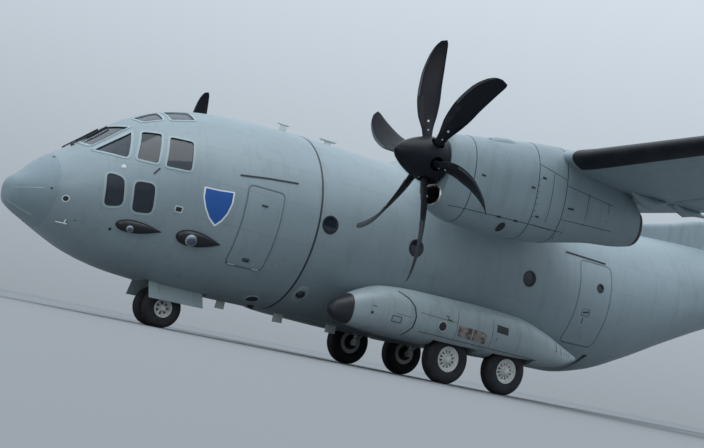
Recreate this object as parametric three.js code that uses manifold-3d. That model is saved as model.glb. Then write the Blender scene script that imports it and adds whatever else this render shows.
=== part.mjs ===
// Military transport plane: twin-turboprop, high wing, rear ramp. Millimetres, +Z up,
// +X forward, +Y to port, ground at Z = 0.
import * as THREE from 'three';
import { mergeVertices } from 'three/addons/utils/BufferGeometryUtils.js';
import Module from 'manifold-3d';

const wasm = await Module();
wasm.setup();

// Driving dimensions
const LENGTH = 22700;
const SPAN = 28700;
const HEIGHT = 9640;
const AXIS_Z = 2500; // fuselage centreline above the ground
const BODY_R = 1775;
const WALL = 110;
const FLOOR_Z = AXIS_Z - 1130;
const GAP = 0.3; // between pieces that seat on each other
const RING = 28; // points round a fuselage section
const TRACK = 3668;
const MAIN_TYRE = { r: 495, w: 330, rim: 250 };
const NOSE_TYRE = { r: 368.5, w: 250, rim: 175 };
const MAIN_STATIONS = [8752, 10268];
const NOSE_STATION = 3280;
const PROP = { station: 5400, y: 4750, z: AXIS_Z + 1100, r: 2055 };
const WING = { station: 8030, chord: 3380, z: AXIS_Z + 1820, tipChord: 1685, joint: 5650, incidence: -3.7, dihedral: 2.5 };

const at = (station) => LENGTH / 2 - station; // station aft of the nose tip to X

const paint = new THREE.MeshStandardMaterial({ name: 'grey_paint', color: 0x8b9698, metalness: 0.1, roughness: 0.5 });
const darkPaint = new THREE.MeshStandardMaterial({ name: 'dark_paint', color: 0x23272e, metalness: 0.1, roughness: 0.5 });
const glass = new THREE.MeshStandardMaterial({ name: 'glazing', color: 0x1c2a36, metalness: 0.0, roughness: 0.1 });
const rubber = new THREE.MeshStandardMaterial({ name: 'tyre_rubber', color: 0x1b1b1c, metalness: 0.0, roughness: 0.9 });
const hubPaint = new THREE.MeshStandardMaterial({ name: 'hub_paint', color: 0xd8dad6, metalness: 0.2, roughness: 0.4 });
const steel = new THREE.MeshStandardMaterial({ name: 'leg_steel', color: 0xa9adad, metalness: 0.7, roughness: 0.4 });
const floorMetal = new THREE.MeshStandardMaterial({ name: 'floor_metal', color: 0x6f7474, metalness: 0.6, roughness: 0.5 });

const plane = new THREE.Group();
plane.name = 'military_transport_plane';

// Solids
function toSolid(geometry) {
  const g = geometry.clone();
  g.deleteAttribute('normal');
  g.deleteAttribute('uv');
  const m = mergeVertices(g, 0.001);
  const solid = new wasm.Manifold(new wasm.Mesh({
    numProp: 3,
    vertProperties: Float32Array.from(m.attributes.position.array),
    triVerts: Uint32Array.from(m.index.array),
  }));
  return solid;
}

function addPiece(name, solid, material) {
  const largest = solid.decompose().reduce((a, b) => (b.volume() > a.volume() ? b : a));
  const data = largest.getMesh();
  const g = new THREE.BufferGeometry();
  g.setAttribute('position', new THREE.BufferAttribute(Float32Array.from(data.vertProperties), 3));
  g.setIndex(new THREE.BufferAttribute(Uint32Array.from(data.triVerts), 1));
  g.computeVertexNormals();
  const mesh = new THREE.Mesh(g, material);
  mesh.name = name;
  plane.add(mesh);
  return mesh;
}

function signedVolume(p, idx) {
  let v = 0;
  for (let i = 0; i < idx.length; i += 3) {
    v += p[idx[i]].dot(new THREE.Vector3().crossVectors(p[idx[i + 1]], p[idx[i + 2]]));
  }
  return v;
}

// Closed body through like sections; u and v name the axes that flatten a section for its cap
function loft(sections, u, v) {
  const n = sections[0].length;
  const points = sections.flat();
  const idx = [];
  for (let k = 0; k + 1 < sections.length; k += 1) {
    for (let i = 0; i < n; i += 1) {
      const a = k * n + i;
      const b = k * n + ((i + 1) % n);
      idx.push(a, b, b + n, a, b + n, a + n);
    }
  }
  for (const [k, flip] of [[0, true], [sections.length - 1, false]]) {
    const flat = sections[k].map((p) => new THREE.Vector2(p[u], p[v]));
    const turnOf = (p) => Math.sign(THREE.ShapeUtils.area(p));
    for (const t of THREE.ShapeUtils.triangulateShape(flat, [])) {
      const same = turnOf(t.map((j) => flat[j])) === turnOf(flat);
      const out = same === flip ? [t[0], t[2], t[1]] : t;
      idx.push(...out.map((j) => j + k * n));
    }
  }
  let order = idx;
  if (signedVolume(points, idx) < 0) {
    order = [];
    for (let i = 0; i < idx.length; i += 3) order.push(idx[i], idx[i + 2], idx[i + 1]);
  }
  const g = new THREE.BufferGeometry();
  g.setAttribute('position', new THREE.Float32BufferAttribute(points.flatMap((p) => [p.x, p.y, p.z]), 3));
  g.setIndex(order);
  return toSolid(g);
}

function block(x0, x1, y0, y1, z0, z1) {
  const g = new THREE.BoxGeometry(Math.abs(x1 - x0), Math.abs(y1 - y0), Math.abs(z1 - z0));
  g.translate((x0 + x1) / 2, (y0 + y1) / 2, (z0 + z1) / 2);
  return toSolid(g);
}

function rod(r, from, to, segments = 16, r2 = r) {
  const a = new THREE.Vector3(...from);
  const b = new THREE.Vector3(...to);
  const g = new THREE.CylinderGeometry(r2, r, a.distanceTo(b), segments);
  g.applyQuaternion(new THREE.Quaternion().setFromUnitVectors(new THREE.Vector3(0, 1, 0), b.clone().sub(a).normalize()));
  g.translate((a.x + b.x) / 2, (a.y + b.y) / 2, (a.z + b.z) / 2);
  return toSolid(g);
}

// Turned body about a line along Y or X; rows are [radius, distance along the line]
function turned(profile, axis, origin, segments) {
  const closed = [...profile, profile[0]].map(([r, d]) => new THREE.Vector2(r, d));
  if (THREE.ShapeUtils.isClockWise(closed)) closed.reverse();
  const g = new THREE.LatheGeometry(closed, segments);
  if (axis === 'x') g.rotateZ(-Math.PI / 2);
  g.translate(...origin);
  return toSolid(g);
}

// Flat polygon in one plane, pushed out along the third axis between two values
function prism(points, plane2, low, high) {
  const [u, v, w] = plane2;
  const ring = (d) => points.map(([a, b]) => {
    const p = new THREE.Vector3();
    p[u] = a;
    p[v] = b;
    p[w] = d;
    return p;
  });
  return loft([ring(low), ring(high)], u, v);
}

// Points, axis and forward direction of a hinge line, with its cylinder and plate shapes
function hingeLine(from, to) {
  const a = new THREE.Vector3(...from);
  const b = new THREE.Vector3(...to);
  const along = b.clone().sub(a).normalize();
  return { a, b, along, length: a.distanceTo(b) };
}
function barrel(line, d0, d1, r, segments = 12) {
  const p = line.a.clone().addScaledVector(line.along, d0);
  const q = line.a.clone().addScaledVector(line.along, d1);
  return rod(r, p.toArray(), q.toArray(), segments);
}
// Knuckles that share one axis; rows are [start, meeting, end], the first length fixed, the second moving
function knuckles(fixed, moving, line, r, rows, clear = 5) {
  let f = fixed;
  let m = moving;
  for (const [d0, d1, d2] of rows) {
    const out = Math.sign(d2 - d0) * clear;
    f = f.subtract(barrel(line, d1, d2 + out, r + clear)).add(barrel(line, d0, d1 - Math.sign(out) * GAP / 2, r));
    m = m.subtract(barrel(line, d0 - out, d1, r + clear)).add(barrel(line, d1 + Math.sign(out) * GAP / 2, d2, r));
  }
  return [f, m];
}
// Bracket arm on the fixed piece, its cross pin seated between the cheeks of a notch in the moving piece
function brackets(fixed, moving, line, ahead, shares, nose) {
  let f = fixed;
  let m = moving;
  const up = new THREE.Vector3().crossVectors(line.along, ahead).normalize();
  const fore = new THREE.Vector3().crossVectors(up, line.along).normalize();
  const plate = (centre, wide, f0, f1, tall) => {
    const g = new THREE.BoxGeometry(wide, f1 - f0, tall);
    g.applyMatrix4(new THREE.Matrix4().makeBasis(line.along, fore, up).setPosition(centre.clone().addScaledVector(fore, (f0 + f1) / 2)));
    return toSolid(g);
  };
  for (const share of shares) {
    const d = line.length * share;
    const centre = line.a.clone().addScaledVector(line.along, d);
    const r = nose(share);
    const pin = r * 0.3;
    m = m.subtract(plate(centre, 60, -pin - 10, r * 1.6, r * 2.6));
    f = f.add(plate(centre, 36, 0, r + 30, r * 0.5)).add(barrel(line, d - 30 + GAP, d + 30 - GAP, pin, 8));
  }
  return [f, m];
}

function smooth(rows, key, s) {
  // Monotone cubic through the rows of a table
  const x = rows.map((r) => r.s);
  const y = rows.map((r) => r[key]);
  if (s <= x[0]) return y[0];
  if (s >= x[x.length - 1]) return y[y.length - 1];
  const h = x.slice(1).map((v, i) => v - x[i]);
  const d = h.map((v, i) => (y[i + 1] - y[i]) / v);
  const m = x.map((_, i) => {
    if (i === 0) return d[0];
    if (i === x.length - 1) return d[d.length - 1];
    if (d[i - 1] * d[i] <= 0) return 0;
    const a = 2 * h[i] + h[i - 1];
    const b = h[i] + 2 * h[i - 1];
    return (a + b) / (a / d[i - 1] + b / d[i]);
  });
  let k = 0;
  while (s > x[k + 1]) k += 1;
  const t = (s - x[k]) / h[k];
  return (1 + 2 * t) * (1 - t) ** 2 * y[k] + t * (1 - t) ** 2 * h[k] * m[k]
    + t * t * (3 - 2 * t) * y[k + 1] + t * t * (t - 1) * h[k] * m[k + 1];
}

// Fuselage form: half width, crown, keel and height of the widest point, from the centreline
const BODY = [
  { s: 0, half: 60, top: -545, low: -655, wide: -600 },
  { s: 50, half: 300, top: -440, low: -857, wide: -610 },
  { s: 200, half: 600, top: -300, low: -975, wide: -580 },
  { s: 500, half: 930, top: 24, low: -1125, wide: -520 },
  { s: 900, half: 1200, top: 331, low: -1320, wide: -440 },
  { s: 1250, half: 1370, top: 613, low: -1471, wide: -350 },
  { s: 1700, half: 1520, top: 1015, low: -1600, wide: -240 },
  { s: 2150, half: 1620, top: 1294, low: -1680, wide: -140 },
  { s: 2600, half: 1695, top: 1477, low: -1721, wide: -70 },
  { s: 3200, half: 1750, top: 1625, low: -1765, wide: -30 },
  { s: 4000, half: 1775, top: 1720, low: -1775, wide: 0 },
  { s: 5350, half: 1775, top: 1775, low: -1775, wide: 0 },
  { s: 12900, half: 1775, top: 1775, low: -1775, wide: 0 },
  { s: 13800, half: 1765, top: 1835, low: -1610, wide: 60 },
  { s: 14600, half: 1720, top: 1900, low: -1290, wide: 170 },
  { s: 16000, half: 1560, top: 2005, low: -640, wide: 460 },
  { s: 17500, half: 1290, top: 2085, low: -20, wide: 850 },
  { s: 19000, half: 930, top: 2095, low: 490, wide: 1190 },
  { s: 20500, half: 560, top: 2010, low: 900, wide: 1420 },
  { s: 21500, half: 260, top: 1850, low: 1210, wide: 1530 },
  { s: 21900, half: 80, top: 1650, low: 1430, wide: 1540 },
];

function bodyRing(s, inset = 0, count = RING) {
  const half = Math.max(smooth(BODY, 'half', s) - inset, 5);
  const wide = smooth(BODY, 'wide', s);
  const top = Math.max(smooth(BODY, 'top', s) - inset - wide, 5);
  const low = Math.max(wide - smooth(BODY, 'low', s) - inset, 5);
  const ring = [];
  for (let i = 0; i < count; i += 1) {
    const a = (2 * Math.PI * i) / count;
    const z = Math.sin(a) >= 0 ? wide + top * Math.sin(a) : wide + low * Math.sin(a);
    ring.push(new THREE.Vector3(at(s), half * Math.cos(a), AXIS_Z + z));
  }
  return ring;
}

const bodyLoft = (stations, inset = 0) => loft(stations.map((s) => bodyRing(s, inset, inset > 0 ? 18 : RING)), 'y', 'z');

const NOSE_RINGS = [650, 950, 1250, 1500, 1700, 1950, 2250, 2700, 3300, 4000];
const TAIL_RINGS = [12900, 13300, 13800, 14500, 15300, 16500, 17900, 19300, 20500, 21500, 21900];
const RADOME_END = 648;
const STRIPE = 5370;
const REAR_JOINT = 11900;
const wholeBody = bodyLoft([0, 50, 200, 400, ...NOSE_RINGS, STRIPE, ...TAIL_RINGS], -GAP);

// Radome: hollow shell, open at the back where it seats on the bulkhead
const RADOME_RINGS = [0, 20, 60, 140, 270, 440, RADOME_END];
addPiece('radome', bodyLoft(RADOME_RINGS).subtract(bodyLoft([120, 270, 440, 700], 60)), paint);

const GLASS_STATIONS = [930, 1200, 1450, 1700, 1950, 2200, 2500, 2900];

// Openings of the forward fuselage, drawn in side view (station, height) or front view
const SIDE_WINDOWS = [
  [[1110, 300], [1750, 825], [1620, 265]],
  [[1870, 820], [2200, 855], [2110, 285], [1740, 285]],
  [[2310, 830], [2730, 840], [2690, 290], [2230, 265]],
  [[1290, -65], [1600, -95], [1680, -580], [1350, -650]],
  [[1750, -110], [2120, -85], [2190, -600], [1820, -640]],
];
const sideCut = (points, side, y0) => prism(points.map(([s, z]) => [at(s), AXIS_Z + z]), ['x', 'z', 'y'], side * y0, side * 2000);
const FRONT_PANES = [
  // [inner low, inner high, outer high, outer low] as (y, z) seen from ahead
  [[45, 490], [45, 880], [740, 895], [690, 385]],
];
const BROW_PANES = [
  [[1890, 340], [2320, 310], [2310, 810], [1970, 720]],
  [[2420, 340], [2850, 480], [2870, 910], [2430, 870]],
];

const forwardStations = [...NOSE_RINGS.map((s) => (s === 650 ? RADOME_END + GAP : s)), STRIPE - GAP];
let forward = bodyLoft(forwardStations)
  .subtract(bodyLoft([780, ...GLASS_STATIONS, 3400, 4000, 5500], WALL));
const windowCuts = [];
for (const side of [1, -1]) {
  for (const w of SIDE_WINDOWS) windowCuts.push(sideCut(w, side, 700));
  for (const w of FRONT_PANES) {
    windowCuts.push(prism(w.map(([y, z]) => [side * y, AXIS_Z + z]), ['y', 'z', 'x'], at(1800), at(700)));
  }
  for (const w of BROW_PANES) {
    windowCuts.push(prism(w.map(([s, y]) => [at(s), side * y]), ['x', 'y', 'z'], AXIS_Z + 960, AXIS_Z + 1800));
  }
}
for (const cut of windowCuts) forward = forward.subtract(cut);

// Crew door, port side, hinged on its sill
const CREW_DOOR = { s0: 3810, s1: 4550, z0: AXIS_Z - 1125, z1: AXIS_Z + 330 };
const crewHole = block(at(CREW_DOOR.s0), at(CREW_DOOR.s1), 900, 2000, CREW_DOOR.z0, CREW_DOOR.z1);
const bodyWall = bodyLoft([3400, 4000, 4700, 5300]).subtract(bodyLoft([3390, 4000, 4700, 5310], WALL));
let crewDoor = bodyWall.intersect(block(at(CREW_DOOR.s0 + 8), at(CREW_DOOR.s1 - 8), 900, 2000, CREW_DOOR.z0 + 8, CREW_DOOR.z1 - 8));
const CREW_HINGE = { y: 1385, z: AXIS_Z - 1121, r: 20 };
// Nose gear bay
const NOSE_BAY = { s0: 2760, s1: 4060, half: 430 };
forward = forward.subtract(crewHole)
  .subtract(block(at(NOSE_BAY.s0), at(NOSE_BAY.s1), -NOSE_BAY.half, NOSE_BAY.half, AXIS_Z - 1900, AXIS_Z - 1250));
[forward, crewDoor] = knuckles(forward, crewDoor, hingeLine([at(CREW_DOOR.s0), CREW_HINGE.y, CREW_HINGE.z], [at(CREW_DOOR.s1), CREW_HINGE.y, CREW_HINGE.z]),
  CREW_HINGE.r, [[100, 190, 280], [640, 550, 460]]);
addPiece('crew_door', crewDoor, paint);
addPiece('forward_fuselage', forward, paint);

// Cockpit glazing: panes set in the cut-outs, joined by the thin liner behind them
const paneShell = bodyLoft(GLASS_STATIONS, 14).subtract(bodyLoft([920, 1200, 1450, 1700, 1950, 2200, 2500, 2910], WALL + 6));
const liner = bodyLoft(GLASS_STATIONS, WALL + GAP).subtract(bodyLoft([920, 1200, 1450, 1700, 1950, 2200, 2500, 2910], WALL + 14))
  .intersect(block(at(935), at(2890), -1700, 1700, AXIS_Z - 760, AXIS_Z + 1500));
let glazing = liner;
for (const side of [1, -1]) {
  for (const w of [...SIDE_WINDOWS]) {
    const c = [w.reduce((t, p) => t + p[0], 0) / w.length, w.reduce((t, p) => t + p[1], 0) / w.length];
    const inner = w.map(([s, z]) => [c[0] + (s - c[0]) * 0.97, c[1] + (z - c[1]) * 0.97]);
    glazing = glazing.add(paneShell.intersect(sideCut(inner, side, 720)));
  }
  for (const w of FRONT_PANES) {
    const c = [w.reduce((t, p) => t + p[0], 0) / w.length, w.reduce((t, p) => t + p[1], 0) / w.length];
    const inner = w.map(([y, z]) => [side * (c[0] + (y - c[0]) * 0.97), AXIS_Z + c[1] + (z - c[1]) * 0.97]);
    glazing = glazing.add(paneShell.intersect(prism(inner, ['y', 'z', 'x'], at(1790), at(710))));
  }
  for (const w of BROW_PANES) {
    const c = [w.reduce((t, p) => t + p[0], 0) / w.length, w.reduce((t, p) => t + p[1], 0) / w.length];
    const inner = w.map(([s, y]) => [at(c[0] + (s - c[0]) * 0.96), side * (c[1] + (y - c[1]) * 0.96)]);
    glazing = glazing.add(paneShell.intersect(prism(inner, ['x', 'y', 'z'], AXIS_Z + 965, AXIS_Z + 1790)));
  }
}
addPiece('cockpit_glazing', glazing, glass);

// Centre fuselage: plain tube with round windows, its crown cut for the wing box
let centre = bodyLoft([STRIPE + GAP, REAR_JOINT - GAP]).subtract(bodyLoft([STRIPE - 100, REAR_JOINT + 100], WALL));
for (const s of [5600, 7620, 10610]) {
  for (const side of [1, -1]) centre = centre.subtract(rod(150, [at(s), side * 1300, AXIS_Z], [at(s), side * 2000, AXIS_Z], 16));
}

// Wing sections: NACA-like thickness with a little camber
const AIRFOIL = [0, 0.02, 0.06, 0.13, 0.24, 0.38, 0.55, 0.72, 0.88, 1];
const thickness = (f, t) => Math.max(5 * t * (0.2969 * Math.sqrt(f) - 0.126 * f - 0.3516 * f * f + 0.2843 * f ** 3 - 0.1036 * f ** 4), 0.0006);
const camber = (f, m) => 4 * m * f * (1 - f);

// One section between two chord fractions; nose true gives the rounded front of a hinged surface
function foil({ chord, t, m = 0, from = 0, to = 1, nose = false, grow = 0 }) {
  const inside = AIRFOIL.filter((f) => f > from + 0.015 && f < to - 0.015);
  const fr = [from, ...inside, to];
  const up = fr.map((f) => [f * chord, (camber(f, m) + thickness(f, t)) * chord + grow]);
  const down = fr.map((f) => [f * chord, (camber(f, m) - thickness(f, t)) * chord - grow]).reverse();
  let front = [];
  if (nose) {
    const r = thickness(from, t) * chord;
    front = [112.5, 135, 157.5, 180, 202.5, 225, 247.5].map((a) => [
      from * chord + r * Math.cos((a * Math.PI) / 180), camber(from, m) * chord + r * Math.sin((a * Math.PI) / 180)]);
    front.reverse();
  }
  if (from === 0) {
    up.shift();
    down.pop();
    front = [[-grow, 0]];
    return [...up, ...down, ...front];
  }
  return [...up, ...down, ...front];
}

const chordAt = (y) => {
  const a = Math.abs(y);
  if (a <= WING.joint) return WING.chord;
  return WING.chord + ((WING.tipChord - WING.chord) * (a - WING.joint)) / (SPAN / 2 - WING.joint);
};
const riseAt = (y) => Math.max(Math.abs(y) - WING.joint, 0) * Math.tan((WING.dihedral * Math.PI) / 180);
const cosI = Math.cos((WING.incidence * Math.PI) / 180);
const sinI = Math.sin((WING.incidence * Math.PI) / 180);
const WING_T = 0.15;
const WING_M = 0.02;
function wingSection(y, options) {
  return foil({ chord: chordAt(y), t: WING_T, m: WING_M, ...options }).map(([d, h]) => new THREE.Vector3(
    at(WING.station) - d * cosI + h * sinI, y, WING.z + riseAt(y) + d * sinI + h * cosI));
}
const HINGE = 0.74; // chord fraction of the flap and aileron hinges
function hingePoint(y, drop = 0) {
  const c = chordAt(y);
  const d = HINGE * c;
  const h = camber(HINGE, WING_M) * c - drop * thickness(HINGE, WING_T) * c;
  return [at(WING.station) - d * cosI + h * sinI, y, WING.z + riseAt(y) + d * sinI + h * cosI];
}
// Room for a hinged surface: everything behind its rounded nose
function surfaceRoom(y0, y1) {
  const edge = (y) => hingePoint(y)[0] + thickness(HINGE, WING_T) * chordAt(y) + 12;
  return prism([[edge(y0), y0], [edge(y1), y1], [-3000, y1], [-3000, y0]], ['x', 'y', 'z'], 3000, 6500);
}

const wingBlank = loft([wingSection(-WING.joint, {}), wingSection(WING.joint, {})], 'x', 'z');
let wingCentre = wingBlank;
const INNER_FLAP = [1960, WING.joint];
const OUTER_FLAP = [WING.joint, 9700];
const AILERON = [9700, 13900];
for (const side of [1, -1]) {
  wingCentre = wingCentre.subtract(surfaceRoom(side * INNER_FLAP[0], side * (INNER_FLAP[1] + 20)));
}
const wingClear = loft([-1, 1].map((k) => wingSection(k * WING.joint, { grow: GAP })), 'x', 'z');
addPiece('centre_fuselage', centre.subtract(wingClear), paint);

// Fairing over the wing root, from crown to crown
const FAIRING = [
  { s: 7500, half: 700, top: 1750 },
  { s: 7800, half: 1050, top: 1835 },
  { s: 8150, half: 1250, top: 2030 },
  { s: 8700, half: 1330, top: 2160 },
  { s: 9600, half: 1330, top: 2185 },
  { s: 10600, half: 1250, top: 2110 },
  { s: 11500, half: 1050, top: 1950 },
  { s: 12500, half: 700, top: 1790 },
];
const fairing = loft(FAIRING.map((r) => {
  const ring = [];
  for (let i = 0; i <= 12; i += 1) {
    const a = (Math.PI * i) / 12;
    ring.push(new THREE.Vector3(at(r.s), r.half * Math.cos(a), AXIS_Z + 1300 + (r.top - 1300) * Math.sin(a) ** 0.7));
  }
  ring.push(new THREE.Vector3(at(r.s), 0, AXIS_Z + 1290));
  return ring;
}), 'y', 'z');
addPiece('wing_fairing', fairing.subtract(wholeBody).subtract(wingClear), paint);

// Outer wing panels, flaps and ailerons, each surface on two bracket hinges
const AHEAD = new THREE.Vector3(1, 0, 0);
for (const [side, word] of [[1, 'port'], [-1, 'starboard']]) {
  let panel = loft([wingSection(side * (WING.joint + GAP), {}), wingSection((side * SPAN) / 2, {})], 'x', 'z');
  panel = panel.subtract(surfaceRoom(side * (OUTER_FLAP[0] - 20), side * AILERON[1]));
  const pieces = [['flap_inner', INNER_FLAP], ['flap_outer', OUTER_FLAP], ['aileron', AILERON]];
  for (const [label, [y0, y1]] of pieces) {
    const ends = [side * (y0 + 12), side * (y1 - 12)];
    const blank = loft(ends.map((y) => wingSection(y, { from: HINGE, nose: true })), 'x', 'z');
    const carrier = label === 'flap_inner' ? wingCentre : panel;
    const nose = (share) => thickness(HINGE, WING_T) * chordAt(ends[0] + (ends[1] - ends[0]) * share);
    const [f, m] = brackets(carrier, blank, hingeLine(hingePoint(ends[0]), hingePoint(ends[1])), AHEAD, [0.16, 0.84], nose);
    if (label === 'flap_inner') wingCentre = f;
    else panel = f;
    addPiece(`${label}_${word}`, m, paint);
  }
  addPiece(`wing_${word}`, panel, paint);
}
addPiece('wing_centre', wingCentre, paint);

// Nacelles: half width, top, bottom and widest height; the engine bay opens at the front
const NACELLE = [
  { s: 5640, half: 400, top: 1510, low: 350, wide: 1000 },
  { s: 5720, half: 450, top: 1600, low: 290, wide: 990 },
  { s: 6050, half: 500, top: 1680, low: 190, wide: 970 },
  { s: 6800, half: 520, top: 1810, low: 165, wide: 980 },
  { s: 7500, half: 520, top: 1940, low: 200, wide: 1010 },
  { s: 8000, half: 510, top: 2010, low: 260, wide: 1050 },
  { s: 8600, half: 490, top: 2050, low: 390, wide: 1100 },
  { s: 9300, half: 450, top: 1950, low: 530, wide: 1130 },
  { s: 9900, half: 380, top: 1670, low: 600, wide: 1100 },
  { s: 10220, half: 310, top: 1380, low: 680, wide: 1030 },
];
const BAY = [
  { s: 5500, half: 330, top: 1440, low: 780, wide: 1100 },
  { s: 5760, half: 330, top: 1440, low: 780, wide: 1100 },
  { s: 5960, half: 430, top: 1590, low: 280, wide: 970 },
  { s: 6800, half: 460, top: 1730, low: 230, wide: 980 },
  { s: 7700, half: 455, top: 1750, low: 270, wide: 980 },
  { s: 7900, half: 440, top: 1490, low: 320, wide: 980 },
  { s: 8850, half: 420, top: 1430, low: 490, wide: 950 },
];
function ovalRings(table, y0, count, square = 1) {
  return table.map((r) => {
    const ring = [];
    for (let i = 0; i < count; i += 1) {
      const a = (2 * Math.PI * i) / count;
      const c = Math.sign(Math.cos(a)) * Math.abs(Math.cos(a)) ** square;
      const q = Math.sign(Math.sin(a)) * Math.abs(Math.sin(a)) ** square;
      const h = q >= 0 ? r.top - r.wide : r.wide - r.low;
      ring.push(new THREE.Vector3(at(r.s), y0 + r.half * c, AXIS_Z + r.wide + h * q));
    }
    return ring;
  });
}

const BLADE_PHASE = 11; // degrees, the top blade's lean to starboard
const BLADE = [
  // r from the shaft, chord, shift of the mid-chord along the turn, setting from the disc, thickness share
  { r: 330, chord: 150, lag: 0, pitch: 62, t: 0.9 },
  { r: 520, chord: 190, lag: 20, pitch: 58, t: 0.55 },
  { r: 800, chord: 330, lag: 45, pitch: 52, t: 0.2 },
  { r: 1150, chord: 400, lag: 40, pitch: 45, t: 0.12 },
  { r: 1500, chord: 390, lag: -10, pitch: 40, t: 0.09 },
  { r: 1800, chord: 320, lag: -110, pitch: 37, t: 0.08 },
  { r: 1980, chord: 220, lag: -215, pitch: 35, t: 0.08 },
  { r: 2045, chord: 110, lag: -275, pitch: 34, t: 0.08 },
];
const SPINNER = [[0, 640], [60, 615], [135, 545], [215, 430], [290, 290], [348, 135], [380, 10], [387, -200],
  [357, -200], [357, -100], [350, 0], [250, 300], [0, 580]];

for (const [side, word] of [[1, 'port'], [-1, 'starboard']]) {
  const y0 = side * PROP.y;
  let nacelle = loft(ovalRings(NACELLE, y0, 20, 0.85), 'y', 'z').subtract(loft(ovalRings(BAY, y0, 16, 0.7), 'y', 'z')).subtract(wingClear);
  // Chin intake and exhaust
  nacelle = nacelle.subtract(loft([5500, 6100].map((s) => {
    const ring = [];
    for (let i = 0; i < 16; i += 1) {
      const a = (2 * Math.PI * i) / 16;
      ring.push(new THREE.Vector3(at(s), y0 + 255 * Math.cos(a), AXIS_Z + 540 + 152 * Math.sin(a)));
    }
    return ring;
  }), 'y', 'z'));
  nacelle = nacelle.subtract(rod(190, [at(9500), y0, AXIS_Z + 1010], [at(10400), y0, AXIS_Z + 1010], 16));
  addPiece(`nacelle_${word}`, nacelle, paint);
  const bayFit = loft(ovalRings(BAY.map((r) => ({ ...r, half: r.half - GAP, top: r.top - GAP, low: r.low + GAP })), y0, 16, 0.7), 'y', 'z');
  const engine = block(at(6060), at(8450), y0 - 290, y0 + 290, AXIS_Z + 560, AXIS_Z + 1320)
    .add(bayFit.intersect(block(at(7560), at(7620), y0 - 600, y0 + 600, AXIS_Z, AXIS_Z + 2000)))
    .add(rod(75, [at(6100), y0, PROP.z], [at(PROP.station) - 190 - GAP, y0, PROP.z], 12));
  addPiece(`engine_${word}`, engine, steel);

  // Propeller: hub and six swept blades as one body, turning with the spinner
  let propeller = turned([[0, 130], [230, 130], [270, 90], [270, -150], [357 - GAP, -150], [357 - GAP, -190], [0, -190]], 'x', [at(PROP.station), y0, PROP.z], 20);
  const cuts = [];
  for (let k = 0; k < 6; k += 1) {
    const q = new THREE.Quaternion().setFromAxisAngle(new THREE.Vector3(1, 0, 0), ((60 * k + BLADE_PHASE) * Math.PI) / 180);
    const place = (v) => v.applyQuaternion(q).add(new THREE.Vector3(at(PROP.station), y0, PROP.z));
    const rows = [{ ...BLADE[0], r: 200 }, ...BLADE];
    const sections = rows.map((row) => {
      const p = (row.pitch * Math.PI) / 180;
      const pts = [];
      for (let i = 0; i < 6; i += 1) {
        const a = (2 * Math.PI * i) / 6;
        const c = (row.chord / 2) * Math.cos(a);
        const h = (row.chord * row.t * 0.5) * Math.sin(a);
        // chordwise direction is tilted from the disc plane by the pitch
        const along = row.lag + c * Math.cos(p) - h * Math.sin(p);
        const fore = c * Math.sin(p) + h * Math.cos(p);
        pts.push(place(new THREE.Vector3(fore, -along, row.r)));
      }
      return pts;
    });
    propeller = propeller.add(loft(sections, 'x', [0, 3].includes(k) ? 'y' : 'z'));
    cuts.push(rod(118, place(new THREE.Vector3(0, -10, 250)).toArray(), place(new THREE.Vector3(0, -10, 470)).toArray(), 6));
  }
  addPiece(`propeller_${word}`, propeller, darkPaint);
  let spinner = turned(SPINNER, 'x', [at(PROP.station), y0, PROP.z], 20);
  for (const c of cuts) spinner = spinner.subtract(c);
  addPiece(`spinner_${word}`, spinner, darkPaint);
}

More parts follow.
